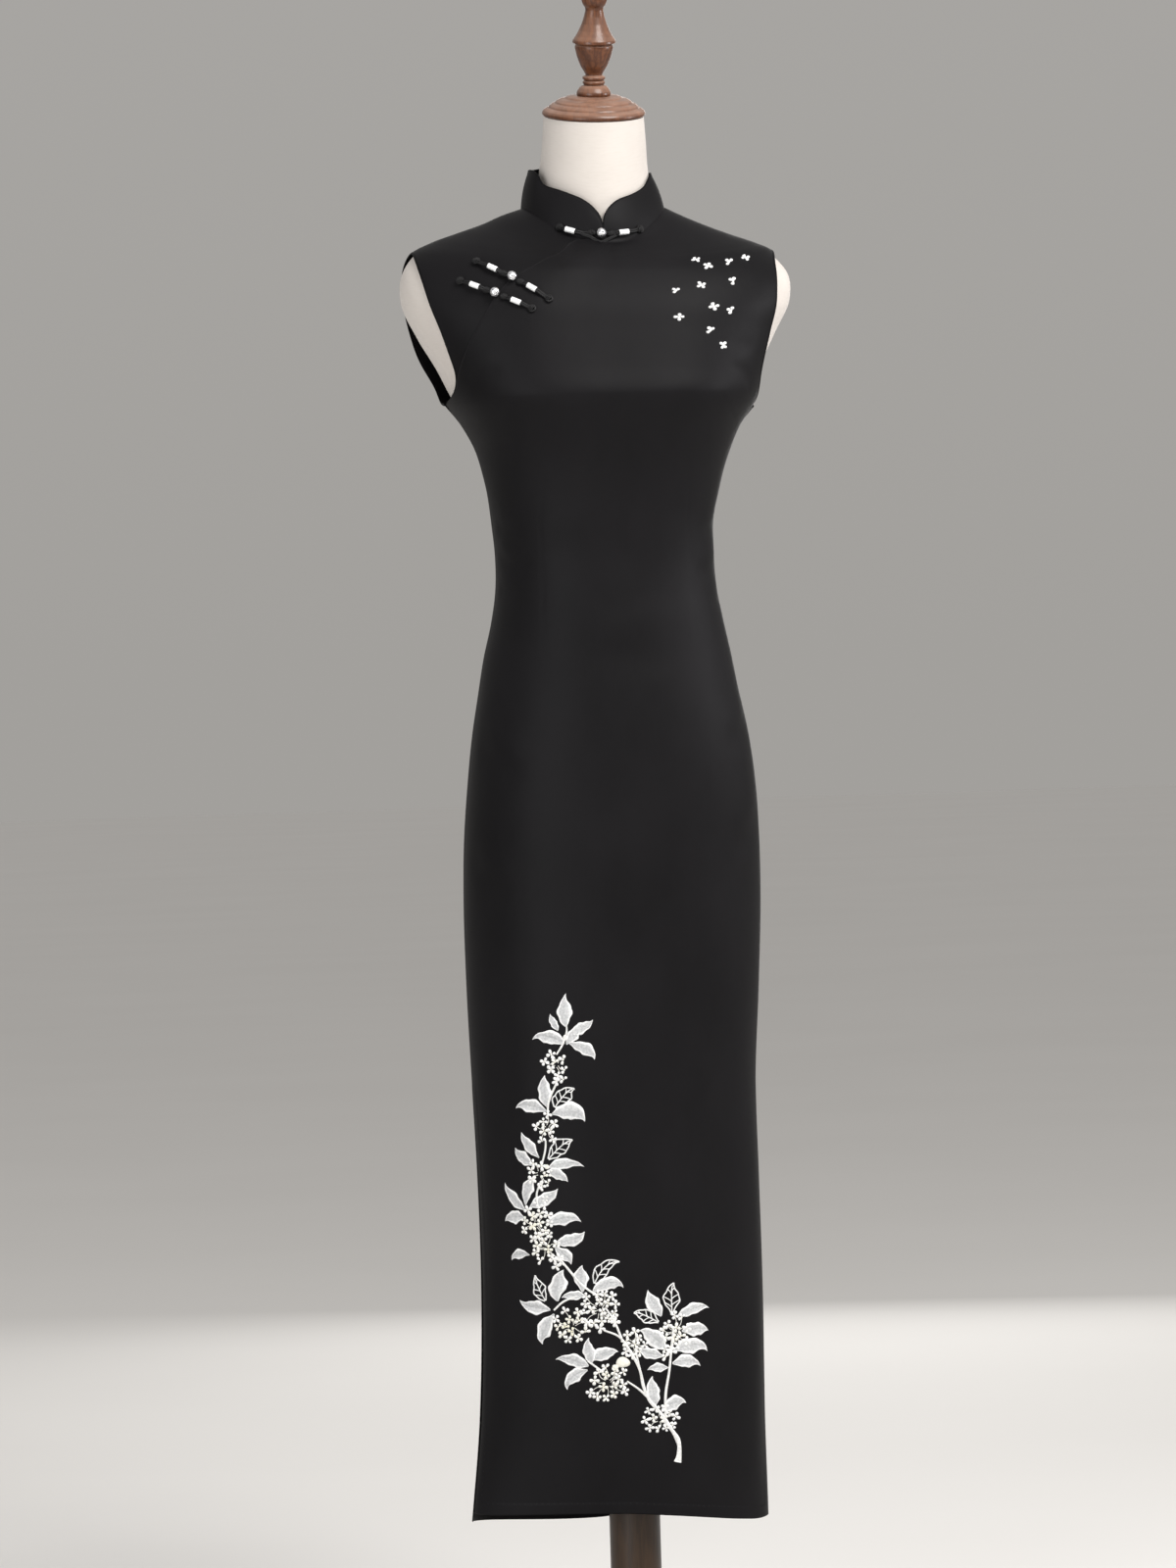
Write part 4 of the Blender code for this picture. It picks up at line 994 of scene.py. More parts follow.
def collar_points(angles, shares, lift):
    foot, upper = body.points(angles, NECKLINE), collar_top(angles)
    row = body.ring(NECKLINE)
    level = foot - np.array([row.centre_x, row.centre_y, 0.0])
    level[:, 2] = 0
    level = unit(level)
    foot = foot + level * CLOTH_LIFT
    around = np.mod(angles, 360.0)
    covered = lap_layer(around, NECKLINE) * soft_step(252.0, 260.0, around)
    foot[:, 2] += CLOTH_LIFT + WALL - COLLAR_SINK + (WALL + LAP_CLEARANCE) * covered
    shares = np.asarray(shares)[:, None]
    bow = COLLAR_BOW * np.sin(np.pi * shares)
    return foot + (upper - foot) * shares + level * (np.reshape(lift, (-1, 1)) + bow)


COLLAR_EDGE_LINE = 0.0045     # a row of stitches this far below the collar's upper edge
COLLAR_CLOTH = 0.0014         # thickness of the band here
COLLAR_TALL = 0.042           # its height, for the cloth's marks


class Collar:
    """Grids of the standing band, from one front end round the back to the other."""

    def __init__(self, columns=241, steps=20):
        start, end = FRONT_ANGLE - 360.0 + COLLAR_MEETING, FRONT_ANGLE - COLLAR_MEETING
        angles = body.even_angles(start, end, NECKLINE, columns)
        run = body.run(angles, NECKLINE)
        to_end = np.minimum(run, run[-1] - run)
        rounding = np.clip(1 - to_end / COLLAR_ROUND, 0, 1)
        height = COLLAR_END + (1 - COLLAR_END) * np.sqrt(1 - rounding ** 2)
        outer, inner, up = [], [], []
        for step in range(steps + 1):
            share = height * step / steps
            ripple = 0.00035 * np.sin(run * 61.0 + 2.0 * share) * np.sin(run * 23.0 + 0.8)
            below = (height - share) * COLLAR_TALL
            seam = -0.0002 * np.exp(-((below - COLLAR_EDGE_LINE) / 0.0008) ** 2 / 2)
            outer.append(collar_points(angles, share, COLLAR_WALL + ripple + seam))
            inner.append(collar_points(angles, share, COLLAR_WALL - COLLAR_CLOTH + ripple))
            up.append(share * COLLAR_TALL)
        self.outer, self.inner = np.array(outer), np.array(inner)
        self.u = np.repeat(run[None, :], steps + 1, axis=0)
        self.up = np.array(up)
        self.edge = np.minimum(self.up[-1] - self.up + 0.0005,
                               np.minimum(self.u, run[-1] - self.u))

    piece = Panel.piece


collar = Collar()
collar_cloth = collar.piece("collar_cloth", satin, "black_satin", "collar")

# ---- narrow bindings


def strip(name, centres, outs, half_side, half_out):
    """A rolled edge: an oval tube along a line."""
    run = run_along(centres)
    count = max(24, int(run[-1] / 0.0035))
    out = unit(read_at(np.linspace(0, run[-1], count), run, outs))
    points, faces = tube(smooth_line(centres, count), out, half_out, half_side, 12)
    length = np.repeat(np.linspace(0, run[-1], count), 12)
    round_it = np.tile(np.arange(12) * half_side / 3, count)
    marks = np.stack([round_it, length, np.full(len(points), 0.01)], axis=1)
    return add_mesh(name, points, faces, binding_satin, 50.0, {"cloth": marks})


def over_the_top(grid):
    """A grid's points up its first column, along its last row and down its last column."""
    return np.concatenate([grid[:-1, 0], grid[-1], grid[-2::-1, -1]])


ARMHOLE_BINDING, COLLAR_BINDING = (0.0016, 0.00085), (0.0009, 0.0010)
bindings = [strip("binding_armhole_" + place, *panel.side(column, UNDERARM, SHOULDER_TIP),
                  *ARMHOLE_BINDING)
            for place, panel, column in (("left_front", front, -1), ("right_front", under_lap, 0),
                                         ("left_back", back, 0), ("right_back", back, -1))]
collar_binding = strip("binding_collar", over_the_top((collar.outer + collar.inner) / 2),
                       unit(over_the_top(collar.outer - collar.inner)), *COLLAR_BINDING)

# ---- hem and slit stitches


def stitches(name, panels, length, every):
    """Small hand stitches along the turned hems and the slits' facings."""
    bundle = Bundle()
    for panel in panels:
        hem_row = int(np.argmin(abs(panel.ups - HEM - HEM_TURN)))
        lines = [(panel.outer[hem_row], panel.outer[hem_row] - panel.inner[hem_row],
                  panel.edge[hem_row] > FACING)]
        rows = (panel.ups > HEM + HEM_TURN) & (panel.ups < SLIT_TOP - 0.006)
        for side in (slice(0, panel.outer.shape[1] // 2), slice(panel.outer.shape[1] // 2, None)):
            picks = np.argmin(abs(panel.edge[rows, side] - FACING), axis=1)
            index = np.arange(len(picks))
            outer, inner = panel.outer[rows, side], panel.inner[rows, side]
            lines.append((outer[index, picks], (outer - inner)[index, picks],
                          np.ones(len(picks), dtype=bool)))
        for line, out, use in lines:
            line, out = line[use], out[use]
            run = run_along(line)
            for start in np.arange(every, run[-1] - every, every):
                along = np.linspace(start, start + length, 4)
                outs = unit(read_at(along, run, out))
                dip = np.array([-0.0002, 0.00012, 0.00012, -0.0002])[:, None]
                bundle.add(*tube(read_at(along, run, line) + outs * dip, outs, 0.00020, 0.00022,
                                 6), (0.0, 0.5, 0.0))
    return bundle.piece(name, black_cord, "frog_cord")


hem_stitches = stitches("hem_stitches", (front, back), 0.0018, 0.0060)

# ---- embroidery

on_front = ClothMap(FRONT_ANGLE)
dice = np.random.RandomState(11)


def laid(u, up, lift):
    return on_front.place(u, up, lift, front_relief)


SUNK = 0.0003                 # how far the undersides of raised stitches lie in the cloth
Leaf = namedtuple("Leaf", "u up heading length width bend")
LEAF_SHAPE = [(0.0, 0.10), (0.08, 0.33), (0.20, 0.70), (0.34, 0.94), (0.46, 1.0), (0.60, 0.88),
              (0.73, 0.62), (0.83, 0.36), (0.92, 0.15), (1.0, 0.01)]    # (share, half width)


def leaf_outline(leaf, count):
    """Middle line, direction across it and the two half widths of a leaf along its length."""
    t = np.linspace(0.0, 1.0, count)
    curl = math.copysign(dice.uniform(14, 40), leaf.bend)
    heading = np.radians(leaf.heading + leaf.bend * t ** 1.6 + curl * soft_step(0.68, 1.05, t))
    step = leaf.length / (count - 1)
    between = (heading[1:] + heading[:-1]) / 2
    u = leaf.u + np.concatenate([[0], np.cumsum(np.cos(between))]) * step
    up = leaf.up + np.concatenate([[0], np.cumsum(np.sin(between))]) * step
    halves = []
    for _ in range(2):
        fullest, slow, quick = dice.uniform(0.82, 1.28), dice.uniform(0, 1), dice.uniform(0, 1)
        shape = np.interp(t ** fullest, *np.array(LEAF_SHAPE).T)
        wave = (0.10 * np.sin(2 * np.pi * (1.5 * t + slow))
                + 0.07 * np.sin(2 * np.pi * (3.3 * t + quick)))
        halves.append(leaf.width / 2 * shape * (1 + wave * np.clip(6 * t * (1 - t), 0, 1)))
    return (t, np.stack([u, up], axis=1), np.stack([-np.sin(heading), np.cos(heading)], axis=1),
            *halves)


LEAF_ACROSS = np.array([-1, -0.95, -0.87, -0.76, -0.58, -0.34, -0.12, 0, 0.12, 0.34, 0.58, 0.76,
                        0.87, 0.95, 1])


def add_leaf(bundle, leaf, count=31):
    """A satin-stitched leaf: a raised bright edge, a groove for its midrib and soft veins."""
    t, middle, side, left, right = leaf_outline(leaf, count)
    c, across, far = LEAF_ACROSS, len(LEAF_ACROSS), np.abs(LEAF_ACROSS)
    half = np.where(c > 0, left[:, None], right[:, None])
    u, up = np.moveaxis(middle[:, None, :] + side[:, None, :] * (half * c)[:, :, None], -1, 0)
    full = np.clip((left + right)[:, None] / (0.5 * leaf.width), 0, 1)
    vein = np.cos(2 * np.pi * (5.5 * t[:, None] - 1.1 * far + leaf.u * 40)) ** 2
    vein = vein * (1 - far ** 2.5)
    groove = np.exp(-(c / 0.10) ** 2)
    high = 0.00075 * np.sqrt(np.clip(1 - far ** 4, 0, 1)) + 0.00016 * vein
    high = high + 0.00035 * np.exp(-((far - 0.87) / 0.10) ** 2)
    high = high * (1 - 0.55 * groove) * full
    top_points, _ = laid(u, up, high + 0.00005)
    low_points, _ = laid(u, up, np.full(high.shape, -SUNK))
    rim, total = rim_of(count, across), count * across
    after = np.roll(rim, -1)
    faces = np.concatenate([quads(count, across, flip=True), quads(count, across, total),
                            np.stack([rim, after, after + total, rim + total], axis=1)])
    along = t[:, None] * leaf.length + far * half * 0.9
    # painted highlight on the raised edge and veins, painted shade in the middle and the midrib's
    # groove; paler towards the tip
    tone = 0.10 + 1.05 * soft_step(0.52, 0.84, far) + 0.24 * vein
    tone = tone - 0.16 * groove + 0.5 * soft_step(0.80, 1.0, t)[:, None]
    marks = np.stack([along, tone, np.full(along.shape, 0.02)], axis=-1).reshape(-1, 3)
    bundle.add(np.concatenate([top_points, low_points]).reshape(-1, 3), faces.tolist(),
               np.concatenate([marks, marks]))


def add_thread(bundle, places, half_width, high, cream=0.05, sides=8):
    """A raised line of stitches along (u, up) places; its half width may vary."""
    places = np.asarray(places)
    points, out = laid(places[:, 0], places[:, 1], 0.0)
    half_width = np.broadcast_to(half_width, len(places))
    made, faces = tube(points + out * (high * 0.15), out, np.minimum(high, half_width * 1.2),
                       half_width, sides)
    marks = np.stack([np.repeat(run_along(points), sides),
                      0.62 + 0.38 * np.tile(np.abs(np.sin(circle(sides))), len(places)),
                      np.full(len(made), cream)], axis=1)
    bundle.add(made, faces, marks)


def add_open_leaf(bundle, leaf):
    """A leaf in outline: its two edges, the midrib and side veins."""
    t, middle, side, left, right = leaf_outline(leaf, 27)
    for edge in (left, -right):
        add_thread(bundle, middle + side * edge[:, None], 0.00068, 0.0008)
    add_thread(bundle, middle[:-2], 0.00060, 0.0007)
    for index, edge in zip((5, 7, 10, 12, 16, 18), (left, -right) * 3):
        reach = min(index + 4, len(t) - 2)
        start, end = middle[index], middle[reach] + side[reach] * edge[reach] * 0.97
        bow = (start + end) / 2 - side[index] * math.copysign(0.0006, edge[reach])
        add_thread(bundle, smooth_line([start, bow, end], 7), 0.00050, 0.0006)


def dome(rings):
    """How far out and how high the rings of a low mound lie, as shares in two columns."""
    turn = np.pi / 2 * np.arange(rings + 1)[:, None] / (rings + 0.6)
    return np.cos(turn), np.sin(turn)


def add_dome(bundle, columns, tip, cream):
    """A mound of rings; columns and tip hold u, up, lift, metres across and tone."""
    grid = np.stack(np.broadcast_arrays(*columns), axis=-1)
    rows, sides = grid.shape[:2]
    u, up, lift, across, tone = np.concatenate([grid.reshape(-1, 5), [tip]]).T
    bundle.add(laid(u, up, lift)[0], wrapped(rows, sides, "tip"),
               np.stack([across, tone, np.full(len(u), cream)], axis=1))


def add_knot(bundle, u, up, across, tall, high, cream, sides=16, rings=5):
    """A low round knot of thread, slightly lumpy."""
    around, phase = circle(sides), dice.uniform(0, 6.3)
    share, rise = dome(rings)
    lump = share * (1 + 0.07 * np.sin(3 * around + phase + 5 * share) * share)
    lift = high * rise * (1 + 0.10 * np.sin(4 * around + 9 * share))
    lift[0] -= SUNK
    add_dome(bundle, (u + across * lump * np.cos(around), up + tall * lump * np.sin(around), lift,
                      np.arange(rings + 1)[:, None] * across / rings,
                      0.62 + 0.38 * np.cos(2 * around + 6 * share) ** 2),
             (u, up, high, 0.0, 0.9), cream)


def add_blossom(bundle, u, up, size, turn, cream, petals=4, fine=False, flat=1.0):
    """Small rounded petals in a cross, with gaps between them, round a small knot."""
    sides, rings = (12, 3) if fine else (8, 2)
    around, high = circle(sides), 0.15 * size
    share, rise = dome(rings)
    lift = high * rise
    lift[0] -= SUNK
    for petal in range(petals):
        heading = turn + petal * math.pi / 2 + dice.uniform(-0.20, 0.20)
        long, wide = size * 0.225 * dice.uniform(0.85, 1.2), size * 0.165 * dice.uniform(0.9, 1.15)
        off = size * 0.29 * dice.uniform(0.94, 1.08)
        ahead, aside = math.cos(heading), math.sin(heading)
        x = off + long * share * np.cos(around)
        y = wide * share * np.sin(around) * (1 + 0.30 * np.cos(around))
        add_dome(bundle, (u + x * ahead - y * aside, up + flat * (x * aside + y * ahead), lift,
                          size * 0.2 * np.sin(around), 0.95 + 0.15 * share),
                 (u + off * ahead, up + flat * off * aside, high, 0.0, 0.995), cream)
    knot = 0.10 * size * np.stack([np.cos(around), np.sin(around)])[:, None]
    add_dome(bundle, (u + knot[0], up + knot[1], -0.0001, 0.0, 0.8), (u, up, high, 0.0, 0.8),
             min(1.0, cream + 0.20))


Cluster = namedtuple("Cluster", "u up across tall cream")
BLOSSOMS_APART = 0.0072


def add_cluster(bundle, stalks, cluster):
    """A head of small blossoms on thin stalks, creamier towards its middle."""
    placed = []
    for _ in range(260):
        reach, turn = math.sqrt(dice.uniform(0, 1)), dice.uniform(0, 2 * math.pi)
        u = cluster.u + cluster.across * reach * math.cos(turn)
        up = cluster.up + cluster.tall * reach * math.sin(turn)
        if all(math.hypot(u - other[0], up - other[1]) > BLOSSOMS_APART for other in placed):
            placed.append((u, up, reach, turn))
    for u, up, reach, turn in placed:
        start = (cluster.u + 0.25 * (u - cluster.u), cluster.up + 0.25 * (up - cluster.up))
        bow = 0.0016 * (1 if math.sin(3 * turn) > 0 else -1)
        middle = ((start[0] + u) / 2 - bow * math.sin(turn),
                  (start[1] + up) / 2 + bow * math.cos(turn))
        if reach > 0.45:
            add_thread(stalks, smooth_line([start, middle, (u, up)], 8), 0.00036, 0.0005, 0.2, 6)
        three = dice.uniform(0, 1) < 0.3
        add_blossom(bundle, u, up, dice.uniform(0.0086, 0.0105), dice.uniform(0, math.pi / 2),
                    min(1.0, 0.8 * cluster.cream * (1.15 - reach) * dice.uniform(0.4, 1.4)),
                    3 if three else 4)


def leaf_rows(*rows):
    """Leaves from rows in millimetres and degrees."""
    return [Leaf(u / 1000, up / 1000, heading, length / 1000, width / 1000, bend)
            for u, up, heading, length, width, bend in rows]


# eight groups from the top of the spray to its foot; each shape comes from the functions above
LEAVES = leaf_rows(
    (-64.5, 672, 97, 34, 15, -10), (-61.0, 667, 14, 27, 12, 26), (-72.5, 668, 121, 19, 8, -8),
    (-66.0, 655, 152, 36, 14, 46), (-64.0, 654, 56, 24, 11, -14), (-62.0, 656, -16, 33, 13, -34),
    (-84.5, 590, 101, 33, 15, -14), (-86.0, 586, 158, 36, 14, 40), (-80.0, 583, 22, 38, 19, -86),
    (-96.0, 538, 132, 32, 12, -8), (-103.0, 530, 148, 27, 13, -14), (-86.5, 528, 22, 38, 11, -44),
    (-87.5, 525, -12, 24, 12, -34),
    (-114.0, 484, 143, 37, 12, -16), (-113.0, 489, 84, 33, 13, -38), (-108.0, 487, 26, 37, 14, 14),
    (-115.0, 476, 176, 26, 14, 34), (-90.0, 470, 30, 38, 14, -56), (-82.0, 451, 10, 34, 14, 26),
    (-82.0, 447, -34, 24, 13, -26), (-110.0, 438, 172, 25, 10, 58),
    (-80.5, 392, 92, 34, 19, -30), (-88.0, 383, 176, 36, 14, -14), (-84.0, 379, 232, 35, 16, 32),
    (-55.0, 402, 96, 28, 15, -8), (-45.0, 402, 40, 36, 14, -72), (-52.0, 398, 176, 25, 10, 14),
    (-46.0, 331, 104, 26, 13, -8), (-49.0, 328, 158, 35, 13, 26), (-50.0, 324, 198, 32, 13, 66),
    (-45.0, 334, 34, 28, 14, -34),
    (24.5, 378, 124, 30, 15, -12), (41.5, 378, 26, 38, 12, -30), (46.0, 363, 8, 31, 15, -14),
    (37.5, 344, 20, 41, 16, -50), (36.0, 331, 14, 33, 13, -46), (29.5, 345, 136, 34, 18, 14),
    (26.5, 338, 170, 27, 12, -18), (32.0, 327, 178, 22, 9, 16),
    (19.5, 289, 104, 30, 15, -10), (26.0, 284, 34, 28, 15, -40))
OPEN_LEAVES = leaf_rows(
    (-77.0, 590, 54, 29, 16, -16), (-86.0, 537, 48, 33, 15, -20), (-93.0, 392, 122, 28, 13, -18),
    (-43.0, 411, 66, 36, 13, -60), (35.5, 381, 92, 31, 16, -6), (21.5, 372, 152, 27, 13, 12))
CLUSTERS = [Cluster(u / 1000, up / 1000, across / 1000, tall / 1000, cream)
            for u, up, across, tall, cream in (
    (-74.5, 634, 13, 12, 0.25), (-70.0, 617, 5, 5, 0.1),
    (-86.5, 568, 11, 15, 0.25), (-95.5, 522, 15, 12, 0.35), (-94.0, 508, 5, 4, 0.1),
    (-94.0, 494, 7, 5, 0.2), (-102.0, 470, 18, 16, 0.5), (-91.0, 446, 17, 16, 0.5),
    (-80.0, 432, 6, 6, 0.2),
    (-37.5, 384, 19, 20, 0.25), (-66.5, 367, 18, 17, 0.7),
    (-4.0, 351, 12, 12, 0.45), (-29.5, 311, 21, 19, 0.55),
    (39.0, 362, 14, 17, 0.5), (31.0, 340, 6, 8, 0.2), (24.5, 274, 17, 13, 0.25))]
KNOTS = (((-14.5, 332, 7.4, 5.4, 2.0), 0.40), ((-65.0, 661, 3.0, 3.0, 1.4), 0.15),
         ((-22.0, 327, 3.4, 3.0, 1.5), 0.35), ((-88.0, 529, 2.6, 2.4, 1.3), 0.3))
STEMS = [                     # (u, up, half width) in millimetres along each stem
    [(44.5, 225, 4.3), (45.5, 231, 3.0), (45.5, 243, 2.2), (43.0, 252, 2.7), (37.5, 261, 1.9),
     (29.5, 273, 2.3), (25.0, 280, 1.6), (14.5, 292, 1.9), (10.0, 300, 1.4), (6.5, 309, 1.7),
     (2.5, 325, 1.3), (-6.0, 341, 1.5), (-18.0, 357, 1.1), (-34.0, 364, 0.9)],
    [(30.0, 276, 1.2), (29.5, 300, 1.4), (33.0, 325, 1.2), (35.0, 348, 1.1), (37.0, 366, 0.8)],
    [(11.0, 297, 1.3), (2.0, 305, 1.1), (-10.0, 313, 0.8)],
    [(3.5, 322, 1.2), (0.5, 334, 1.1), (-2.0, 346, 0.9)],
    [(-16.0, 356, 1.2), (-24.0, 374, 1.1), (-32.0, 386, 0.9)],
    [(-40.0, 398, 0.9), (-56.0, 410, 1.2), (-68.0, 424, 1.2), (-78.0, 436, 1.0)],
    [(-60.0, 398, 0.8), (-74.0, 392, 1.1), (-84.0, 383, 1.0)],
    [(-98.0, 486, 0.9), (-100.0, 500, 1.0), (-95.0, 514, 0.9)],
    [(-93.0, 532, 0.9), (-89.0, 546, 1.0), (-88.0, 556, 0.8)],
    [(-85.0, 578, 0.9), (-83.0, 596, 1.1), (-75.0, 614, 1.0), (-73.0, 624, 0.8)],
    [(-74.0, 644, 0.9), (-68.0, 654, 1.1), (-64.0, 666, 1.0), (-64.0, 674, 0.8)],
    [(-34.0, 322, 0.9), (-44.0, 329, 1.0), (-50.0, 333, 0.8)],
]

leaves, blossoms, stems = Bundle(), Bundle(), Bundle()
for stem in STEMS:
    line = smooth_line(np.array(stem) / 1000, max(10, 6 * len(stem)))
    add_thread(stems, line[:, :2], line[:, 2], 0.0012, 0.10, 10)
for leaf in LEAVES:
    add_leaf(leaves, leaf)
for leaf in OPEN_LEAVES:
    add_open_leaf(leaves, leaf)
for cluster in CLUSTERS:
    add_cluster(blossoms, stems, cluster)
for knot, cream in KNOTS:
    add_knot(blossoms, *metres(knot)[0], cream)
embroidery = [bundle.piece("embroidered_" + kind, white_silk, "pearl_bead") for bundle, kind
              in ((leaves, "leaves"), (blossoms, "blossoms"), (stems, "stems"))]

# ---- blossoms on the chest

CHEST_BLOSSOMS = [            # (angle, up), size in millimetres, turn in degrees
    (319.6, 1.4545, 10.5, 20), (321.6, 1.4440, 11.5, 55), (330.4, 1.4475, 11.5, 38),
    (337.4, 1.4515, 10.5, 10), (326.6, 1.4235, 11.5, 62), (314.4, 1.4200, 11.0, 30),
    (303.2, 1.4140, 10.0, 48), (316.8, 1.3960, 11.5, 15), (323.0, 1.3915, 11.0, 70),
    (302.4, 1.3845, 11.0, 2), (314.8, 1.3700, 11.5, 35), (319.4, 1.3560, 10.0, 58),
]
chest = Bundle()
for angle, up, size, turn in CHEST_BLOSSOMS:
    u = float(body.u_of([angle], up, FRONT_ANGLE)[0])
    add_blossom(chest, u, up, size / 1000, math.radians(turn), 0.02,
                3 if dice.uniform(0, 1) < 0.25 else 4, fine=True, flat=0.76)
chest_blossoms = chest.piece("chest_blossoms", white_silk, "pearl_bead")

# ---- frog fastenings


class FrogLine:
    """The middle line of a frog, laid on cloth: places are metres from its ball."""

    def __init__(self, frog):
        self.frog = frog
        self.shares = np.linspace(0.0, 1.0, 121)
        run = run_along([self.place(share, 0.0) for share in self.shares])
        self.run = run - run[-1] / 2

    def place(self, share, lift):
        _, from_angle, from_up, to_angle, to_up = self.frog
        angle = from_angle + (to_angle - from_angle) * share
        if self.frog is not NECK_FROG:
            up = from_up + (to_up - from_up) * share
            level = CLOTH_LIFT + 2 * WALL + LAP_CLEARANCE
            return body.raised([angle], up, level + lift)[0]
        height = from_up + NECK_FROG_RISE * (1 - (2 * share - 1) ** 2)     # up the collar
        point, ahead, above = collar_points(np.array([angle, angle + 1.0, angle]),
                                            [height, height, height + 0.05],
                                            [COLLAR_WALL] * 3)
        return point + unit(np.cross(ahead - point, above - point)) * lift

    def frame(self, along):
        share = float(np.interp(along, self.run, self.shares))
        point = self.place(share, 0.0)
        ahead = unit(self.place(min(share + 0.01, 1.0), 0.0)
                     - self.place(max(share - 0.01, 0.0), 0.0))
        out = self.place(share, 0.001) - point
        out = unit(out - ahead * out.dot(ahead))
        return point, ahead, out, np.cross(out, ahead)

    def end(self, side):
        return self.run[-1] if side > 0 else -self.run[0]

    def bead(self, side):
        return NECK_BEAD_PLACE if self.frog is NECK_FROG and side < 0 else BEAD_PLACE


def cord_lift(along, bead):
    low = STRAND_RADIUS + SEAM_GAP
    past = max(0.0, abs(along - bead) - CORD_RISE[0])
    return low + (BEAD_LIFT - low) * math.exp(-(past / CORD_RISE[1]) ** 2 / 2)


EYE_RADIUS, CORD_RADIUS = 0.0031, 0.0012
# the wound turns of a frog's knots: metres past the ball, or back from the cord's end, and size
KNOT_TURNS = ((0.0016, 0.0017), (0.0030, 0.0020), (0.0044, 0.0020), (0.0058, 0.0016),
              (-0.0024, 0.0018), (-0.0040, 0.0021), (-0.0056, 0.0017))


def on_line(line, route):
    """Points and outward directions of (along, aside, lift) places on a frog's line."""
    frames = [line.frame(along) for along, _, _ in route]
    return (np.array([point + out * lift + across * aside
                      for (point, _, out, across), (_, aside, lift) in zip(frames, route)]),
            np.array([frame[2] for frame in frames]))


def button_loop(name, line):
    """The doubled loop that hangs in a shallow V below the neck's ball."""
    bundle = Bundle()
    for apart, reach, drop in ((0.0, 0.021, 0.0096), (0.0013, 0.019, 0.0083)):
        centres, outs = on_line(line, [
            (along, -drop * (1 - abs(along) / reach) ** 1.15 - 0.0008 + apart * 0.3,
             0.0019 + apart * 0.3) for along in np.linspace(-reach, reach, 41)])
        outs = outs[np.linspace(0, 40, 120).round().astype(int)]
        bundle.add(*tube(smooth_line(centres, 120), outs, CORD_RADIUS, CORD_RADIUS, 10), 0.0)
    return bundle.piece(name, black_cord, "frog_cord", 80.0)


def frog_cord(name, line, side):
    """Two twisted strands that part in an eye at the end, with a wound knot by the ball."""
    near, far = BALL_RADIUS + 0.0012, line.end(side)
    eye, bead = far - EYE_RADIUS, line.bead(side)
    route = [(near, 0.0)]
    route += [(along, STRAND_APART)
              for along in np.linspace(near + STRAND_APART, eye - EYE_RADIUS * 1.05, 7)]
    route += [(eye + EYE_RADIUS * math.cos(turn), EYE_RADIUS * math.sin(turn))
              for turn in np.radians([150, 120, 90, 60, 30])]
    route.append((far, 0.0))
    route += [(along, -apart) for along, apart in reversed(route[1:-1])]
    path = smooth_line(np.array(route), 260, closed=True)
    centres, outs = on_line(line, [(side * along, apart, cord_lift(along, bead))
                                   for along, apart in path])
    phase = np.linspace(0, 2 * math.pi * 38, len(path), endpoint=False)[:, None]
    bundle = Bundle()
    bundle.add(*tube(centres + outs * 0.0003, outs, CORD_RADIUS, CORD_RADIUS, 10, True,
                     lambda turn: 1 + 0.10 * np.cos(2 * turn[None, :] + phase)), 0.0)
    turn = circle(24)[:, None]
    for middle, size in KNOT_TURNS:
        middle = near + middle if middle > 0 else far + middle
        point, ahead, out, across = line.frame(side * middle)
        around = out * np.cos(turn) * 0.95 + across * np.sin(turn) * 1.35
        slant = ahead * np.sin(turn) * 0.00045
        rise = cord_lift(middle, bead) + 0.00055
        bundle.add(*tube(point + out * rise + around * size + slant, around, 0.00080, 0.00080, 8,
                         True), 0.0)
    return bundle.piece(name, black_cord, "frog_cord", 80.0)


def spun(profile, centre, axis, sideways, sides):
    """Points of a turned shape from (radius, height) rows along an axis."""
    radius, height = np.array(profile).T[:, :, None, None]
    turn = circle(sides)[:, None]
    spoke = sideways * np.cos(turn) + np.cross(axis, sideways) * np.sin(turn)
    return (centre + axis * height + radius * spoke).reshape(-1, 3)


def frog_bead(name, line, side):
    """A short tube with softly rounded ends."""
    point, ahead, out, _ = line.frame(side * line.bead(side))
    half, soft = BEAD_LENGTH / 2, 0.0005
    profile = [(BEAD_BORE, -half + soft)]
    for end, turns in ((-1, (180, 150, 120, 90)), (1, (90, 60, 30, 0))):
        profile += [(BEAD_RADIUS - soft + soft * math.sin(turn),
                     end * (half - soft) + soft * math.cos(turn)) for turn in np.radians(turns)]
    profile.append((BEAD_BORE, half - soft))
    return add_mesh(name, spun(profile, point + out * BEAD_LIFT, ahead, out, 32),
                    wrapped(len(profile), 32, "joined"), pearl)


def frog_ball(name, line, tilt):
    """A faceted metal ball with the small drilled hole of a button's shank."""
    point, ahead, out, across = line.frame(0.0)
    axis = unit(out * math.cos(tilt) + ahead * math.sin(tilt))
    centre = point + out * (BALL_RADIUS + SEAM_GAP)
    profile = [(BALL_RADIUS * math.sin(a), BALL_RADIUS * math.cos(a))
               for a in np.radians([168, 146, 122, 98, 76, 54, 32, 15])]
    profile += [(0.0008, BALL_RADIUS * 0.965), (0.0007, BALL_RADIUS * 0.45)]
    points = spun(profile, centre, axis, unit(np.cross(axis, across)), 10)
    rows = points.reshape(len(profile), 10, 3)
    for row in range(1, len(profile) - 2, 2):       # facets lie like bricks
        between = (rows[row] + np.roll(rows[row], -1, axis=0)) / 2
        rows[row] = centre + unit(between - centre) * BALL_RADIUS
    return add_mesh(name, points, wrapped(len(profile), 10), silver, smooth=False)


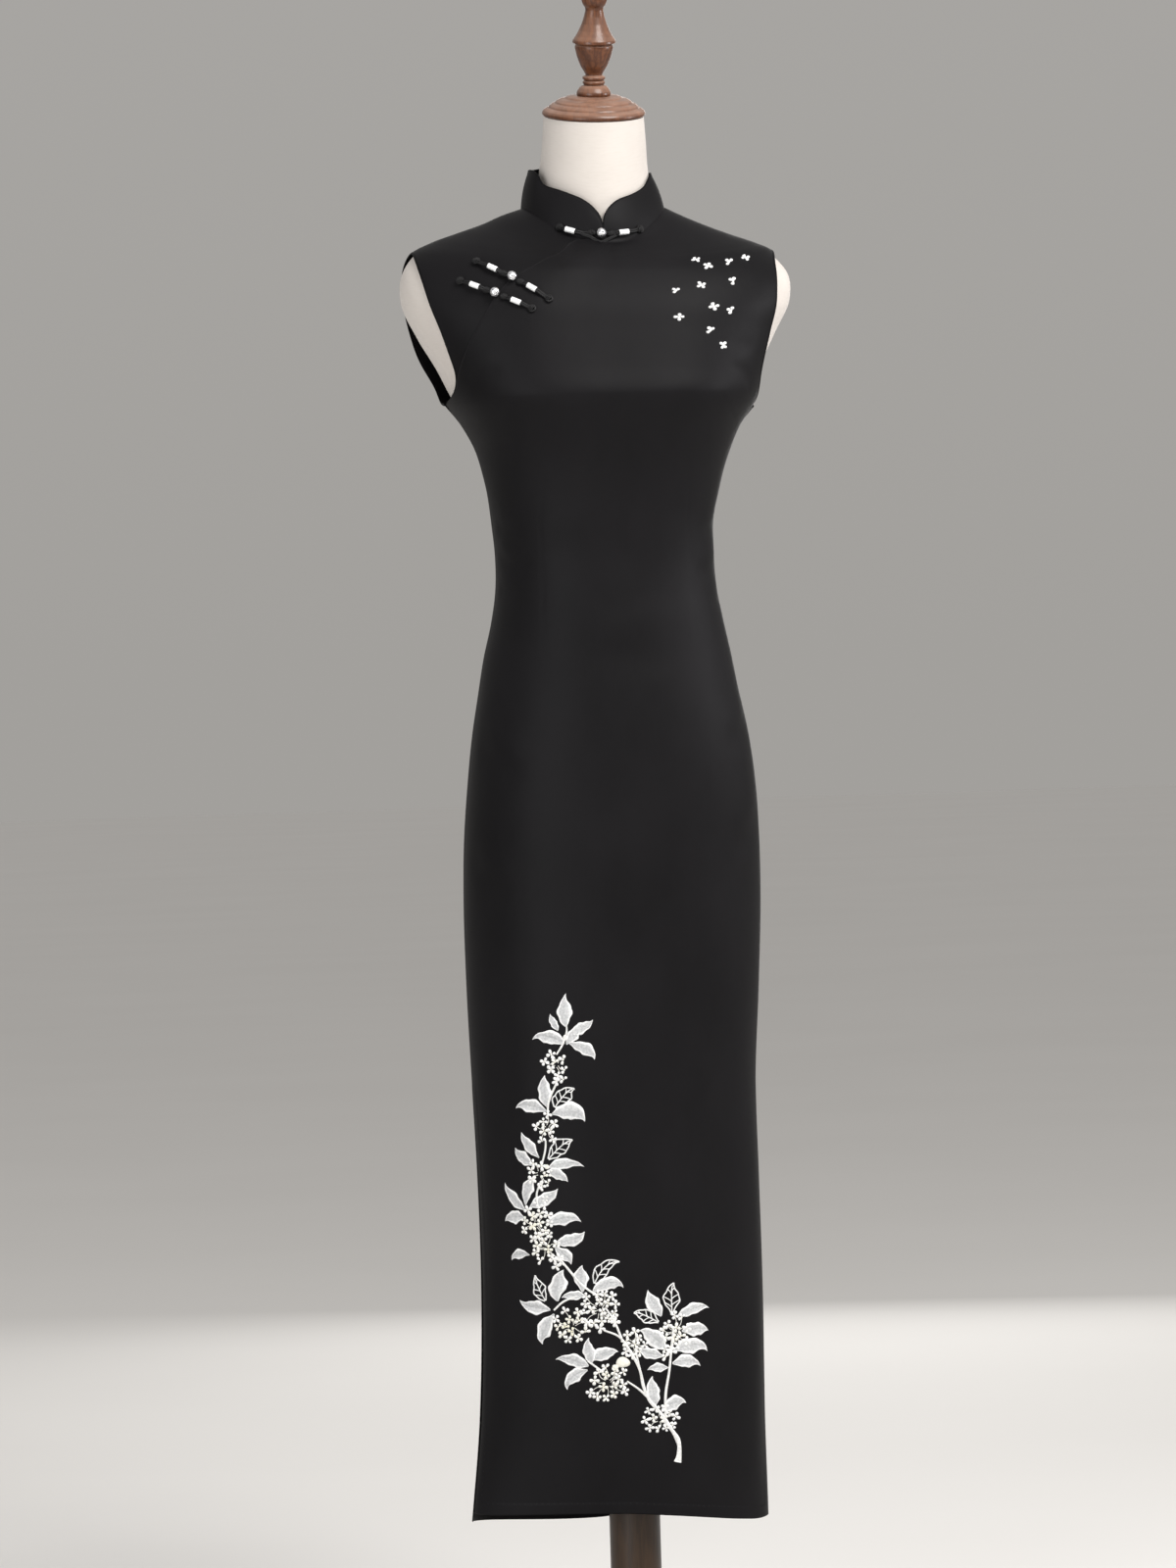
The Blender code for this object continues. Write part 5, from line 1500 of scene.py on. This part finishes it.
for frog, tilt in zip([*CHEST_FROGS, NECK_FROG], (0.35, -0.30, 0.15)):
    line = FrogLine(frog)
    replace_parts(frog_ball(frog.name + "_ball_cut", line, tilt), frog.name + "_ball")
    for side, end in ((-1, "right"), (1, "left")):
        for make, here, solid in ((frog_cord, "strands", "cord"), (frog_bead, "tube", "bead")):
            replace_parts(make(f"{frog.name}_{here}_{end}", line, side),
                        f"{frog.name}_{solid}_{end}")
button_loop("frog_neck_hanging_loop", line)       # the last of them is the neck's

# ---- form and stand


FORM_SAG = 0.0002             # keeps the rounded edge's rings below the first one


def form_rings(columns=160):
    """The form's cover: the body surface less its ease, and the plain neck above it."""
    neck = Surface(BODY[-1:] + NECK)
    body_ups = spread_rows((FORM_BOTTOM, WAIST, 50), (WAIST, UNDERARM, 30),
                           (UNDERARM, SHOULDER_TIP, 46), (SHOULDER_TIP, NECKLINE, 24))
    neck_ups = [NECKLINE + (NECK[-1].up - NECKLINE) * step / 29 for step in range(1, 30)]
    rows, marks = [], []
    for skin, ups in ((body, body_ups), (neck, neck_ups)):
        for up in ups:
            angles = skin.even_angles(0.0, 360.0, up, columns + 1)
            rows.append(skin.raised(angles[:-1], up, -skin.ring(up).ease) if skin is body
                        else skin.points(angles[:-1], up))
            marks.append(np.stack([skin.run(angles, up)[:-1], np.full(columns, up),
                                   np.zeros(columns)], axis=1))
    slope, first = math.tan(math.radians(NECK_TILT)), len(body_ups)
    for step, (row, up) in enumerate(zip(rows[first:], neck_ups)):    # the neck's cut is tilted
        tilted = NECK_TOP[2] + (row[:, 1] - NECK_TOP[1]) * slope
        row[:, 2] += (tilted - (NECK[-1].up - up) - row[:, 2]) * np.clip((step - 14) / 14, 0, 1)
    feet = []
    for turn in np.radians([90, 65, 40, 15]):       # the rounded lower edge
        row = rows[0].copy()
        row[:, :2] += (unit(row[:, :2].mean(axis=0) - row[:, :2]) * FORM_ROUNDING
                       * (1 - math.cos(turn)))
        row[:, 2] = FORM_BOTTOM - FORM_ROUNDING * math.sin(turn) - FORM_SAG
        feet.append(row)
    return feet + rows, marks[:1] * len(feet) + marks


form_points, form_marks = form_rings()
form_cover = add_mesh("form_cover", np.concatenate(form_points),
                      wrapped(len(form_points), len(form_points[0])), linen, 50.0,
                      {"cloth": np.concatenate(form_marks)})
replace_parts(form_cover, "form_body")


def rounded(profile, radius):
    """A turning's profile with each corner softened."""
    rows = np.array(profile)
    soft = [rows[0]]
    for before, here, after in zip(rows, rows[1:], rows[2:]):
        first, last = (here + unit(way) * min(radius, np.linalg.norm(way) * 0.45)
                       for way in (before - here, after - here))
        for share in (0.0, 0.33, 0.67, 1.0):
            soft.append(first * (1 - share) ** 2 + 2 * here * share * (1 - share)
                        + last * share ** 2)
    return soft + [rows[-1]]


def turned_piece(node, profile, softness, finish, sides, up_the_neck=None):
    """A turned piece on the stand's axis, or some way up the neck and leaning with it."""
    lean = 0.0 if up_the_neck is None else math.radians(NECK_TILT)
    axis = np.array([0.0, -math.sin(lean), math.cos(lean)])
    foot = np.zeros(3) if up_the_neck is None else np.array(NECK_TOP) + axis * up_the_neck
    points = spun(rounded(profile, softness), foot, axis, np.array([1.0, 0.0, 0.0]), sides)
    made = add_mesh("turned_" + node, points, wrapped(len(points) // sides, sides), finish)
    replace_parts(made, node)


column_outline = [(COLUMN_RADIUS, up) for up in (
    BASE_TOP + SEAM_GAP, BASE_TOP + 0.2, BASE_TOP + 0.4, FORM_BOTTOM - FORM_ROUNDING - SEAM_GAP)]
ball_outline = [(FINIAL_BALL[0] * math.sin(a), FINIAL_BALL[1] - FINIAL_BALL[0] * math.cos(a))
                for a in np.radians(np.arange(46, 176, 7))]
turned_piece("base", BASE, 0.003, base_wood, 128)
turned_piece("column", column_outline, 0.0006, dark_wood, 64)
turned_piece("neck_cap", NECK_CAP, 0.0008, red_wood, 96, SEAM_GAP)
turned_piece("finial", FINIAL + ball_outline, 0.0008, red_wood, 64,
             NECK_CAP[-1][1] + 2 * SEAM_GAP)

# ---- floor, light and camera

FLOOR = 40.0
mesh = bpy.data.meshes.new("floor")       # a wide square
mesh.from_pydata([(x * FLOOR, y * FLOOR, 0.0) for x, y in ((-1, -1), (1, -1), (1, 1), (-1, 1))],
                 [], [(0, 1, 2, 3)])
mesh.materials.append(floor_finish)
floor = bpy.data.objects.new("floor", mesh)
bpy.context.collection.objects.link(floor)

SKY_LOW, SKY_HIGH = (0.363, 0.351, 0.334), (0.62, 0.61, 0.60)
scene = bpy.context.scene
scene.view_settings.view_transform = "Standard"
world = bpy.data.worlds.new("studio")
world.use_nodes = True
nodes, links = world.node_tree.nodes, world.node_tree.links
place = nodes.new("ShaderNodeTexCoord").outputs["Generated"]
height = nodes.new("ShaderNodeSeparateXYZ")
links.new(place, height.inputs[0])
sky = nodes.new("ShaderNodeValToRGB")          # from the floor's tone up to a brighter ceiling
for element, (share, tone) in zip(sky.color_ramp.elements, ((0.0, SKY_LOW), (1.0, SKY_HIGH))):
    element.position, element.color = share, (*tone, 1.0)
links.new(height.outputs[2], sky.inputs[0])
links.new(sky.outputs[0], nodes["Background"].inputs["Color"])
scene.world = world


def turn_to(thing, x, y, z):
    """Turns an object so that its own axes lie along x, y and z."""
    thing.rotation_euler = Matrix(np.stack([x, y, z], axis=1).tolist()).to_euler()


def area_light(name, place, aim, width, height, power, colour):
    light = bpy.data.lights.new(name, "AREA")
    light.shape = "RECTANGLE"
    light.size, light.size_y = width, height
    light.energy, light.color = power, colour
    lamp = bpy.data.objects.new(name, light)
    lamp.location = place
    away = unit(np.array(place) - np.array(aim))
    right = unit(np.cross((0.0, 0.0, 1.0), away))
    turn_to(lamp, right, np.cross(away, right), away)
    bpy.context.collection.objects.link(lamp)


# name, place, aim, width, height, watts and colour
area_light("key", (1.7, -3.1, 4.3), (0.0, 0.0, 1.05), 2.4, 2.4, 262.0, (1.0, 0.985, 0.965))
area_light("fill", (-2.8, -3.4, 1.5), (0.0, 0.0, 0.8), 2.0, 2.6, 94.0, (0.97, 0.98, 1.0))
area_light("edge_left_side", (2.3, -0.5, 1.7), (0.1, 0.0, 1.36), 0.5, 0.7, 26.0, (0.98, 0.97, 1.0))
area_light("behind", (0.9, 3.6, 1.5), (0.0, 0.0, 0.8), 1.6, 2.2, 22.0, (1.0, 0.99, 0.98))

AZIMUTH, ROLL = math.radians(-9.0), math.radians(1.63)
CAMERA_HEIGHT, TARGET_HEIGHT, DISTANCE, AIM_LEFT = 1.05, 0.915, 7.0, 0.0265
elevation = math.atan((CAMERA_HEIGHT - TARGET_HEIGHT) / DISTANCE)
backward = np.array([math.sin(AZIMUTH) * math.cos(elevation),
                     -math.cos(AZIMUTH) * math.cos(elevation), math.sin(elevation)])
right = np.array([math.cos(AZIMUTH), math.sin(AZIMUTH), 0.0])
upward = np.cross(right, -backward)
lens = bpy.data.cameras.new("camera")
lens.sensor_width, lens.lens = 36.0, 157.5
camera = bpy.data.objects.new("camera", lens)
camera.location = np.array([0.0, 0.0, TARGET_HEIGHT]) - AIM_LEFT * right + DISTANCE * backward
turn_to(camera, right * math.cos(ROLL) - upward * math.sin(ROLL),
        upward * math.cos(ROLL) + right * math.sin(ROLL), backward)
bpy.context.collection.objects.link(camera)
scene.camera = camera
